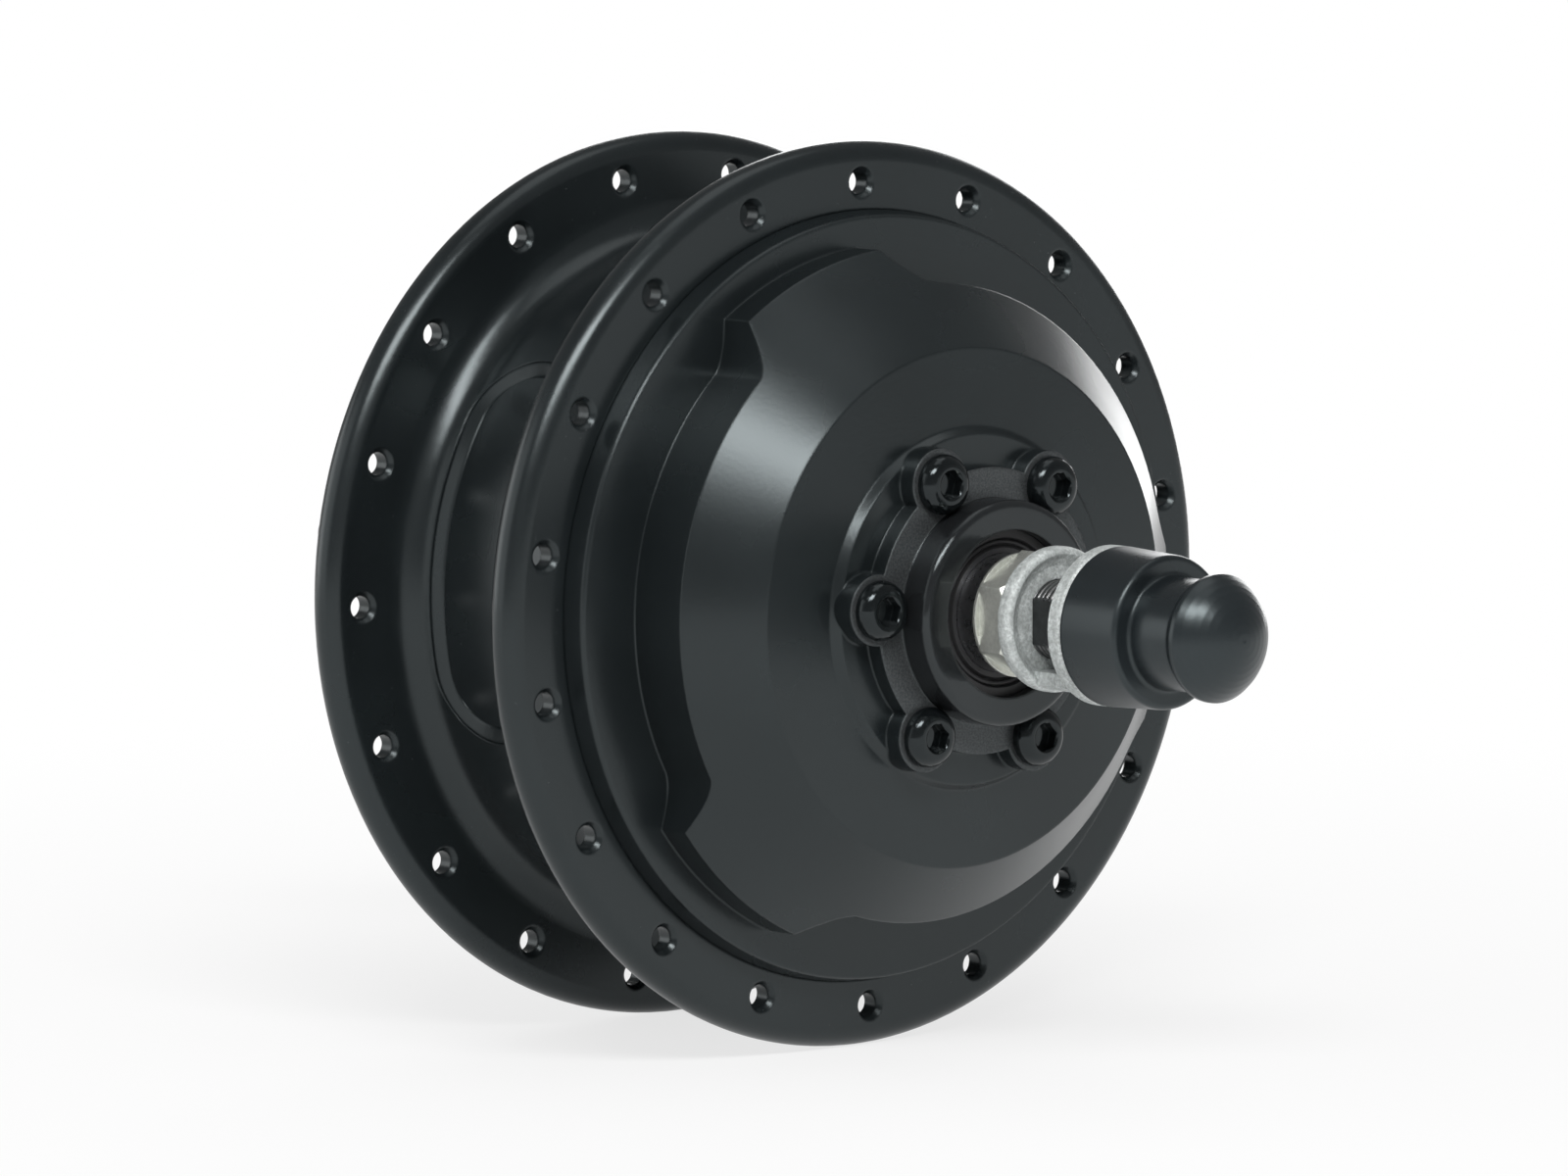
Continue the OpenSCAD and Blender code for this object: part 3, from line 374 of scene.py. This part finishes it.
@dataclass(frozen=True)
class Plated(Finish):
    """Plated or blackened steel: mottled, with grit and pale worn patches."""

    mottle: float = 0.3
    worn: Colour = (0.8, 0.8, 0.79)
    blotches: tuple[float, float, float] = (420.0, 6.0, 0.7)
    rough_span: Span = (0.08, -0.06)

    def vary(self, graph: Graph, shader: bpy.types.Node) -> None:
        """Links the mottling, the grit and the wear.

        Args:
            graph: The material\'s nodes.
            shader: The shader that they feed.
        """
        blotch = graph.noise(*self.blotches)
        grit = graph.noise(self.grain, 4.0, 0.6)
        wear = blotch.step(0.5, 0.66) * grit.step(0.4, 0.6)
        pale = blotch.step(*NOISE_RANGE) * 0.5 + grit.step(0.35, 0.62) * 0.5
        self.link(graph, shader, {
            "Base Color": graph.blend(wear * 0.6, self.mottled(graph, pale), self.worn),
            "Roughness": self.roughened(blotch),
            "Normal": graph.bump(grit * 0.7 + blotch * 0.3, self.relief, 0.7, self.edge),
        })

    def mottled(self, graph: Graph, pale: Wire) -> Wire:
        """The finish's colour, which is full where pale is 1 and darker elsewhere."""
        return graph.blend(pale, self.shade(1.0 - self.mottle), self.shade(1.0))


@dataclass(frozen=True)
class ThreadedAxle(Plated):
    """Blackened axle steel with its thread between the flats of both ends."""

    pitch: float = 1.0 * MM
    thread_from: float = 60.5 * MM
    half_flats: float = 4.98 * MM
    thread_depth: float = 0.5 * MM
    end_fade: float = 0.2 * MM
    flat_fade: float = 0.3 * MM

    def vary(self, graph: Graph, shader: bpy.types.Node) -> None:
        """Links the steel's mottling and the thread's helix.

        Args:
            graph: The material\'s nodes.
            shader: The shader that they feed.
        """
        x, y, z = graph.axes()
        turn = graph.node("ShaderNodeMath", {"operation": "ARCTAN2"}, {0: z, 1: x})
        helix = (y * (2.0 * math.pi / self.pitch) + turn).maths("SINE") * 0.5 + 0.5
        ends = y.maths("ABSOLUTE").step(self.thread_from, self.thread_from + self.end_fade)
        flat = x.maths("ABSOLUTE").step(self.half_flats - self.flat_fade, self.half_flats)
        thread = helix * ends * (1.0 - flat)
        blotch = graph.noise(*self.blotches)
        grit = graph.noise(self.grain, 4.0, 0.6)
        colour = self.mottled(graph, blotch.step(*NOISE_RANGE))
        self.link(graph, shader, {
            "Base Color": graph.blend(thread * 0.5, colour, self.worn),
            "Roughness": self.roughened(blotch),
            "Normal": graph.bump(thread + grit * 0.06, self.thread_depth, 0.9, self.edge),
        })


@dataclass(frozen=True)
class Striped(Finish):
    """A surface of fine parallel lines: stacked sheets or wound wire."""

    lines: float = 2000.0
    dark: Colour = (0.05, 0.05, 0.05)
    way: LineWay = LineWay.ALONG_AXLE
    clouds: Span = (150.0, 4.0)
    shades: Span = (0.8, 1.15)
    rough_span: Span = (-0.04, 0.06)

    def vary(self, graph: Graph, shader: bpy.types.Node) -> None:
        """Links the lines, their dark gaps and their relief.

        Args:
            graph: The material\'s nodes.
            shader: The shader that they feed.
        """
        _, y, _ = graph.axes()
        place = graph.from_axle() if self.way is LineWay.OUT_FROM_AXLE else y
        line = (place * (2.0 * math.pi * self.lines)).maths("SINE") * 0.5 + 0.5
        cloud = graph.noise(*self.clouds)
        gap = line.step(0.0, 0.35, 1.0, 0.0)
        self.link(graph, shader, {
            "Base Color": graph.blend(gap, self.clouded(graph, cloud), self.dark),
            "Roughness": self.roughened(cloud),
            "Normal": graph.bump(line, self.relief, 0.8, 0.0),
        })


@dataclass(frozen=True)
class Board(Finish):
    """Solder mask with tracks and pads."""

    track: Colour = (0.16, 0.45, 0.24)
    pad: Colour = (0.75, 0.6, 0.25)
    track_scale: float = 420.0
    pad_scale: float = 240.0

    def vary(self, graph: Graph, shader: bpy.types.Node) -> None:
        """Links the mask, the tracks in it and the pads on it.

        Args:
            graph: The material\'s nodes.
            shader: The shader that they feed.
        """
        cell = graph.node("ShaderNodeTexVoronoi", {"distance": "CHEBYCHEV"},
                          {"Vector": graph.place(), "Scale": self.track_scale})
        tracks = cell.step(0.42, 0.46)
        pads = graph.node("ShaderNodeTexVoronoi", {}, {"Vector": graph.place(), "Scale": self.pad_scale})
        dots = pads.step(0.13, 0.16, 1.0, 0.0)
        mask = graph.blend(tracks, self.colour, self.track)
        self.link(graph, shader, {
            "Base Color": graph.blend(dots, mask, self.pad),
            "Roughness": tracks.step(0.0, 1.0, self.rough, self.rough + 0.12),
            "Metallic": dots * 0.9,
            "Normal": graph.bump(tracks + dots * 0.5, self.relief, 0.5, 0.0),
        })


COAT_LOOK: Mapping[str, Any] = {
    "colour": (0.0095, 0.0122, 0.0132),
    "rough": 0.25,
    "tint": (0.88, 0.98, 1.0),
    "edge": 0.6 * MM,
    "grain": 1500.0,
    "relief": 0.02 * MM,
}
COAT = PowderCoat("satin_powder_coat", **COAT_LOOK)
COVER_COAT = MachinedCoat("satin_cover_coat", **COAT_LOOK)
BLACK_SCREW = Finish("black_oxide_screw", (0.004, 0.005, 0.0055), 0.13, specular=0.45,
                     tint=(0.86, 0.97, 1.0), edge=0.25 * MM, grain=900.0, relief=0.01 * MM)
WASHER_ZINC = Plated("washer_zinc", (0.66, 0.7, 0.69), 0.46, metallic=0.25, edge=0.3 * MM,
                     grain=2000.0, relief=0.3 * MM, mottle=0.5, worn=(0.86, 0.89, 0.885))
NUT_ZINC = Plated("nut_zinc", (0.72, 0.735, 0.68), 0.32, metallic=0.75, edge=0.25 * MM,
                  grain=1500.0, relief=0.04 * MM, mottle=0.2, worn=(0.84, 0.855, 0.81))
AXLE_STEEL = ThreadedAxle("axle_steel", (0.075, 0.078, 0.08), 0.36, metallic=0.9, edge=0.15 * MM,
                          grain=1800.0, relief=0.03 * MM, worn=(0.4, 0.4, 0.4))
CAP_RUBBER = Finish("cap_rubber", (0.011, 0.014, 0.016), 0.29, specular=0.55, tint=(0.86, 0.98, 1.0),
                    edge=0.5 * MM, grain=1900.0, relief=0.012 * MM)
SEAL_RUBBER = Finish("seal_rubber", (0.018, 0.018, 0.019), 0.42, specular=0.45, edge=0.12 * MM,
                     grain=1600.0, relief=0.015 * MM)
GROUND_STEEL = Plated("ground_steel", (0.52, 0.53, 0.55), 0.3, metallic=1.0, edge=0.1 * MM,
                      grain=1400.0, relief=0.015 * MM, mottle=0.12, worn=(0.66, 0.67, 0.68))
BEARING_STEEL = Finish("bearing_steel", (0.66, 0.67, 0.69), 0.16, metallic=1.0, edge=0.1 * MM,
                       grain=700.0, relief=0.004 * MM)
CASTING = Plated("cast_aluminium", (0.66, 0.67, 0.68), 0.42, metallic=0.9, edge=0.2 * MM,
                 grain=1300.0, relief=0.05 * MM, mottle=0.14)
LAMINATIONS = Striped("lamination_stack", (0.36, 0.37, 0.38), 0.36, metallic=0.9,
                      relief=0.06 * MM, dark=(0.06, 0.06, 0.065))
COPPER = Striped("copper_winding", (0.72, 0.30, 0.12), 0.28, metallic=0.75, coat=0.6, lines=1250.0,
                 relief=0.25 * MM, dark=(0.16, 0.05, 0.02), way=LineWay.OUT_FROM_AXLE)
MAGNET = Finish("magnet_nickel", (0.4, 0.41, 0.43), 0.24, metallic=1.0, edge=0.2 * MM,
                grain=600.0, relief=0.01 * MM)
NYLON = Finish("gear_nylon", (0.74, 0.71, 0.6), 0.42, edge=0.1 * MM,
               grain=900.0, relief=0.02 * MM)
BOARD = Board("hall_board", (0.02, 0.16, 0.07), 0.3, coat=0.4, relief=0.05 * MM)


def finished(
    mesh: bmesh.types.BMesh, name: str, body: str, finish: Finish
) -> bpy.types.Object:
    """Closes a bmesh into a named piece that rides on a body.

    Args:
        mesh: The piece's shape, with its place in it.
        name: The piece's name.
        body: The CAD body that it rides on.
        finish: Its finish.

    Returns:
        The piece.
    """
    bmesh.ops.remove_doubles(mesh, verts=mesh.verts, dist=MERGE_NEAR)
    bmesh.ops.recalc_face_normals(mesh, faces=mesh.faces)
    for face in mesh.faces:
        face.smooth = True
    data = bpy.data.meshes.new(name)
    mesh.to_mesh(data)
    mesh.free()
    data.set_sharp_from_angle(angle=SHARP_FROM)
    piece = bpy.data.objects.new(name, data)
    bpy.context.scene.collection.objects.link(piece)
    piece.data.materials.append(finish.material())
    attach(piece, body)
    log.info("%s: %d faces on %s", name, len(data.polygons), body)
    return piece


def dress(finish: Finish, *nodes: str) -> None:
    """Gives CAD nodes a finish.

    Args:
        finish: The finish.
        nodes: The CAD nodes that take it.
    """
    for node in nodes:
        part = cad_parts[node]
        part.data.materials.clear()
        part.data.materials.append(finish.material())
        log.info("%s: dressed in %s", node, finish.name)


@dataclass
class HubShell:
    """The cast shell: its coat, the sloped wall of the drum's recess and the freewheel thread."""

    drum_r: float = 54.0 * MM
    floor_depth: float = 1.1 * MM
    recess_w: float = 21.6 * MM
    recess_arc: float = math.radians(43.0)
    recess_angle: float = math.radians(170.5)
    recess_y: float = 3.3 * MM
    slope_w: float = 2.3 * MM
    slope_gap: float = 0.02 * MM
    slope_lip: float = 0.03 * MM
    slope_sunk: float = 0.1 * MM
    bend_steps: int = 32
    straight_steps: int = 40
    thread_r: float = 17.1 * MM
    thread_rise: float = 0.34 * MM
    thread_pitch: float = 1.058 * MM
    thread_start: float = 31.6 * MM
    thread_turns: int = 8

    def build(self) -> None:
        """Makes the shell's own pieces and dresses its nodes."""
        self.recess_slope()
        self.freewheel_thread()
        dress(COAT, "hub_shell")

    def recess_slope(self) -> bpy.types.Object:
        """The slope between the recess's edge and its floor, which follows the drum.

        Returns:
            The piece.
        """
        straight = self.recess_arc * self.drum_r / 2
        edge, foot = self.recess_w / 2 - self.slope_gap, self.recess_w / 2 - self.slope_w
        low = self.floor_depth + self.slope_sunk
        corners = [(edge, self.slope_lip), (edge, low),
                   (foot, low), (foot, self.floor_depth - self.slope_gap)]
        mesh = bmesh.new()
        verts = [mesh.verts.new((straight, -radius, depth)) for radius, depth in corners]
        edges = [mesh.edges.new(pair) for pair in zip(verts, verts[1:] + verts[:1])]
        last: list[Any] = [*verts, *edges]
        for end in (1, -1):
            turned = bmesh.ops.spin(mesh, geom=last, cent=(end * straight, 0, 0), axis=(0, 0, 1),
                                    dvec=(0, 0, 0), angle=math.pi, steps=self.bend_steps,
                                    use_merge=False, use_duplicate=False)
            last = turned["geom_last"]
            for _ in range(self.straight_steps):
                last = self.shift(mesh, last, -end * 2 * straight / self.straight_steps)
        for vert in mesh.verts:
            angle = self.recess_angle + vert.co.x / self.drum_r
            radius = self.drum_r - vert.co.z
            along = self.recess_y - vert.co.y
            vert.co = Vector((radius * math.cos(angle), along, radius * math.sin(angle)))
        return finished(mesh, "recess_slope", "shell_group", COAT)

    @staticmethod
    def shift(mesh: bmesh.types.BMesh, profile: list[Any], step: float) -> list[Any]:
        """Extrudes a profile along X.

        Args:
            mesh: The bmesh that holds it.
            profile: The profile's edges, with anything else beside them.
            step: How far it goes.

        Returns:
            The new profile's vertices and edges.
        """
        edges = [part for part in profile if isinstance(part, bmesh.types.BMEdge)]
        made = bmesh.ops.extrude_edge_only(mesh, edges=edges)["geom"]
        verts = [part for part in made if isinstance(part, bmesh.types.BMVert)]
        bmesh.ops.translate(mesh, verts=verts, vec=(step, 0, 0))
        inside = set(verts)
        return verts + [part for part in made
                        if isinstance(part, bmesh.types.BMEdge) and inside.issuperset(part.verts)]

    def freewheel_thread(self) -> bpy.types.Object:
        """The thread that the freewheel screws onto.

        Returns:
            The piece.
        """
        helix = Helix(self.thread_r, self.thread_rise, self.thread_pitch,
                      self.thread_start, self.thread_turns)
        return helix.build("freewheel_thread", "shell_group", COAT, "shell_paint")


@dataclass
class Helix:
    """A thread's ridge, wound round the axle's line."""

    radius: float
    rise: float
    pitch: float
    start: float
    turns: int
    steps: int = 72
    sunk: float = 0.05 * MM
    foot_share: float = 0.47
    crest_share: float = 0.22
    cap_sides: int = 8
    half_flats: float | None = None

    def build(self, name: str, body: str, finish: Finish, slot: str) -> bpy.types.Object:
        """Winds the ridge.

        Args:
            name: The piece's name.
            body: The CAD body that it rides on.
            finish: Its finish.
            slot: The material slot of the finish; not used.

        Returns:
            The piece.
        """
        mesh = bmesh.new()
        foot = self.pitch * self.foot_share
        crest = foot * self.crest_share
        low, high = self.radius - self.sunk, self.radius + self.rise
        corners = [(low, -foot), (high, -crest), (high, crest), (low, foot)]
        verts = [mesh.verts.new((r, self.start + y, 0.0)) for r, y in corners]
        face = mesh.faces.new(verts)
        geometry = [face, *face.edges, *verts]
        bmesh.ops.spin(mesh, geom=geometry, cent=(0, 0, 0), axis=(0, 1, 0),
                       dvec=(0, self.pitch / self.steps, 0), angle=2 * math.pi * self.turns,
                       steps=self.steps * self.turns, use_merge=False, use_duplicate=False)
        if self.half_flats is not None:
            self.cut_flats(mesh)
        open_edges = [edge for edge in mesh.edges if edge.is_boundary]
        bmesh.ops.holes_fill(mesh, edges=open_edges, sides=self.cap_sides)
        return finished(mesh, name, body, finish)

    def cut_flats(self, mesh: bmesh.types.BMesh) -> None:
        """Takes the ridge off the axle's two flats.

        Args:
            mesh: The wound ridge.
        """
        for side in (-1, 1):
            geometry = mesh.verts[:] + mesh.edges[:] + mesh.faces[:]
            bmesh.ops.bisect_plane(mesh, geom=geometry, dist=CUT_NEAR, clear_outer=True,
                                   plane_co=(side * self.half_flats, 0, 0), plane_no=(side, 0, 0))


@dataclass
class SideCover:
    """The lobed cover with the brake disc's seat, its screws and its seal."""

    spring_r: float = 10.75 * MM
    spring_wire: float = 0.42 * MM
    spring_y: float = -56.35 * MM
    wire_sides: int = 12
    ring_steps: int = 96

    def build(self) -> None:
        """Makes the seal's spring and dresses the cover's nodes."""
        self.garter_spring()
        dress(COVER_COAT, "side_cover")
        dress(BLACK_SCREW, "disc_screws")
        dress(SEAL_RUBBER, "disc_side_seal", "drive_side_seal")

    def garter_spring(self) -> bpy.types.Object:
        """The ring that presses the seal's lip onto its sleeve.

        Returns:
            The piece.
        """
        mesh = bmesh.new()
        place = Matrix.Translation((self.spring_r, self.spring_y, 0))
        bmesh.ops.create_circle(mesh, cap_ends=False, segments=self.wire_sides,
                                radius=self.spring_wire, matrix=place)
        bmesh.ops.spin(mesh, geom=mesh.verts[:] + mesh.edges[:], cent=(0, 0, 0), axis=(0, 1, 0),
                       dvec=(0, 0, 0), angle=2 * math.pi, steps=self.ring_steps,
                       use_merge=True, use_duplicate=False)
        return finished(mesh, "seal_spring", "shell_group", SEAL_RUBBER)


@dataclass
class AxleSet:
    """The axle with its nuts, washers, cap and grommet."""

    nuts: Sequence[str] = ("disc_side_lock_nut", "drive_side_lock_nut",
                           "disc_side_axle_nut", "drive_side_axle_nut")
    washers: Sequence[str] = ("disc_side_torque_washer", "drive_side_torque_washer",
                              "disc_side_washer", "drive_side_washer")
    sleeves: Sequence[str] = ("disc_side_sleeve", "drive_side_sleeve", "bearing_spacer",
                              "clutch_spacer", "thrust_washer", "clutch_key")
    axle_r: float = 6.0 * MM
    thread_rise: float = 0.24 * MM
    thread_pitch: float = 1.0 * MM
    half_flats: float = 5.02 * MM
    threads: Mapping[str, tuple[float, int]] = field(default_factory=lambda: {
        "disc_side_gap_thread": (-79.4 * MM, 8),
        "drive_side_gap_thread": (71.2 * MM, 8),
        "axle_end_thread": (93.8 * MM, 8),
    })

    def build(self) -> None:
        """Winds the axle's threads where they show and dresses its nodes."""
        for name, (start, turns) in self.threads.items():
            helix = Helix(self.axle_r, self.thread_rise, self.thread_pitch, start, turns,
                          half_flats=self.half_flats)
            helix.build(name, "axle_group", AXLE_STEEL, "axle_steel")
        dress(AXLE_STEEL, "axle")
        dress(NUT_ZINC, *self.nuts)
        dress(WASHER_ZINC, *self.washers)
        dress(GROUND_STEEL, *self.sleeves)
        dress(CAP_RUBBER, "axle_cap", "cable_grommet")


@dataclass
class Motor:
    """Stator, windings, hall board, rotor and magnets."""

    def build(self) -> None:
        """Dresses the motor's nodes."""
        dress(CASTING, "stator_hub", "rotor_gear_plate", "rotor_end_plate")
        dress(LAMINATIONS, "stator_core")
        dress(COPPER, "stator_coils")
        dress(BOARD, "hall_board")
        dress(GROUND_STEEL, "rotor_can")
        dress(MAGNET, "rotor_magnets")


@dataclass
class GearTrain:
    """Sun, planets, ring gear, carrier and one-way clutch."""

    planets: int = 3

    def build(self) -> None:
        """Dresses the gear train's nodes."""
        numbers = range(1, self.planets + 1)
        dress(GROUND_STEEL, "ring_gear", "sun_gear", "planet_pins", "clutch_cam")
        dress(NYLON, *(f"planet_gear_{number}" for number in numbers))
        dress(BEARING_STEEL, "clutch_rollers", *(f"planet_bearing_{number}" for number in numbers))
        dress(CASTING, "planet_carrier")


@dataclass
class Bearings:
    """The four ball bearings."""

    names: Sequence[str] = ("disc_bearing", "drive_bearing", "rotor_disc_bearing", "rotor_drive_bearing")

    def build(self) -> None:
        """Dresses each bearing's races and balls."""
        for name in self.names:
            dress(BEARING_STEEL, f"{name}_outer_race", f"{name}_inner_race", f"{name}_balls")


@dataclass(frozen=True)
class Lamp:
    """A soft rectangular lamp that faces the object, with its power in watts."""

    name: str
    place: Point
    size: Span
    power: float

    def build(self) -> None:
        """Hangs the lamp."""
        data = bpy.data.lights.new(self.name, "AREA")
        data.shape = "RECTANGLE"
        data.size, data.size_y = self.size
        data.energy = self.power
        lamp = bpy.data.objects.new(self.name, data)
        lamp.location = self.place
        lamp.rotation_mode = "QUATERNION"
        lamp.rotation_quaternion = (-Vector(self.place)).to_track_quat("-Z", "Y")
        bpy.context.scene.collection.objects.link(lamp)


@dataclass
class Studio:
    """The camera, the pale floor, the lamps and the world."""

    eye: Vector = field(default_factory=lambda: Vector((-785.04, -933.06, 125.70)) * MM)
    aim: Vector = field(default_factory=lambda: Vector((0.0, -25.5, 0.0)) * MM)
    lens: float = 180.03
    shift_x: float = -0.05213
    shift_y: float = 0.0052
    floor_z: float = -70.0 * MM
    floor_size: float = 30.0
    floor_colour: Colour = (0.9, 0.9, 0.9)
    floor_gloss: float = 0.6
    glow_reach: Span = (0.05, 0.42)
    glow_near: float = 0.74
    shade_x: Span = (-0.06, 0.04)
    shade_y: Span = (-0.02, 0.06)
    shade_depth: float = 0.7
    room_low: float = 0.3
    room_high: float = 0.2
    even_light: float = 0.3
    sensor: float = 36.0
    clip: Span = (0.05, 100.0)
    lamps: Sequence[Lamp] = (
        Lamp("front_top_strip", (-0.7, -1.0, 1.1), (1.0, 0.4), 20.0),
        Lamp("left_softbox", (-1.5, 0.45, 0.45), (1.0, 1.2), 3.5),
        Lamp("back_softbox", (-0.9, 1.2, 0.25), (0.9, 0.8), 4.0),
        Lamp("right_softbox", (1.55, 1.15, 0.12), (1.3, 1.7), 24.0),
        Lamp("top_softbox", (0.2, -0.2, 1.6), (1.1, 0.8), 2.5),
    )

    def build(self) -> None:
        """Makes the camera, the floor, the lamps and the world."""
        self.camera()
        self.floor()
        self.world()
        for lamp in self.lamps:
            lamp.build()

    def camera(self) -> None:
        """The camera, fitted to the photograph."""
        data = bpy.data.cameras.new("camera")
        data.sensor_width = self.sensor
        data.lens = self.lens
        data.shift_x = self.shift_x
        data.shift_y = self.shift_y
        data.clip_start, data.clip_end = self.clip
        camera = bpy.data.objects.new("camera", data)
        camera.location = self.eye
        camera.rotation_mode = "QUATERNION"
        camera.rotation_quaternion = (self.aim - self.eye).to_track_quat("-Z", "Y")
        bpy.context.scene.collection.objects.link(camera)
        bpy.context.scene.camera = camera

    def floor(self) -> None:
        """A pale floor that keeps the object's shadow and turns white further out."""
        mesh = bmesh.new()
        place = Matrix.Translation((0, 0, self.floor_z))
        bmesh.ops.create_grid(mesh, x_segments=4, y_segments=4, size=self.floor_size, matrix=place)
        data = bpy.data.meshes.new("floor")
        mesh.to_mesh(data)
        mesh.free()
        floor = bpy.data.objects.new("floor", data)
        bpy.context.scene.collection.objects.link(floor)
        material = bpy.data.materials.new("floor")
        material.use_nodes = True
        graph = Graph(material.node_tree)
        lit = graph.node("ShaderNodeBsdfDiffuse", {}, {"Color": (*self.floor_colour, 1.0)})
        glow = graph.node("ShaderNodeEmission", {}, {"Color": WHITE, "Strength": 1.0})
        x, y, _ = graph.axes()
        away = (x * x + y * y).maths("SQRT").step(*self.glow_reach, self.glow_near, 1.0)
        shade = 1.0 - x.step(*self.shade_x, self.shade_depth, 0.0) * y.step(*self.shade_y)
        plain, gloss = self.seen(graph)
        share = (plain * away).maths("MAXIMUM", gloss * shade * self.floor_gloss)
        seen = graph.node("ShaderNodeMixShader", {}, {0: share, 1: lit, 2: glow})
        graph.node("ShaderNodeOutputMaterial", {}, {"Surface": seen})
        floor.data.materials.append(material)

    @staticmethod
    def seen(graph: Graph) -> tuple[Wire, Wire]:
        """Tells apart the rays by where they come from.

        Args:
            graph: The nodes of the floor's material or of the world.

        Returns:
            1 for rays from the camera or through glass, and 1 for rays from gloss.
        """
        path = graph.node("ShaderNodeLightPath", outlet="Is Camera Ray")
        outputs = path.socket.node.outputs
        through, gloss = Wire(graph, outputs["Is Transmission Ray"]), Wire(graph, outputs["Is Glossy Ray"])
        return path.maths("MAXIMUM", through), gloss

    def world(self) -> None:
        """A white backdrop, a grey room for reflections and an even light of its own."""
        world = bpy.data.worlds.new("studio")
        world.use_nodes = True
        bpy.context.scene.world = world
        graph = Graph(world.node_tree)
        place = graph.node("ShaderNodeTexCoord", outlet="Generated")
        height = graph.node("ShaderNodeSeparateXYZ", {}, {0: place}, outlet="Z")
        plain, gloss = self.seen(graph)
        grey = height.step(0.0, 0.5, self.room_low, self.room_high)
        room = graph.node("ShaderNodeBackground", {}, {"Color": WHITE, "Strength": grey})
        light = graph.node("ShaderNodeBackground", {}, {"Color": WHITE, "Strength": self.even_light})
        white = graph.node("ShaderNodeBackground", {}, {"Color": WHITE, "Strength": 1.0})
        lit = graph.node("ShaderNodeMixShader", {}, {0: gloss, 1: light, 2: room})
        mixed = graph.node("ShaderNodeMixShader", {}, {0: plain, 1: lit, 2: white})
        graph.node("ShaderNodeOutputWorld", {}, {"Surface": mixed})


def main() -> None:
    """Builds each sub-assembly in turn."""
    logging.basicConfig(level=logging.INFO, format="%(name)s: %(message)s")
    bpy.context.scene.view_settings.view_transform = "Standard"
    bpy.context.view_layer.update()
    for assembly in (Studio(), HubShell(), SideCover(), AxleSet(), Motor(), GearTrain(), Bearings()):
        assembly.build()
        log.info("%s built", type(assembly).__name__)


if __name__ == "__main__":
    main()
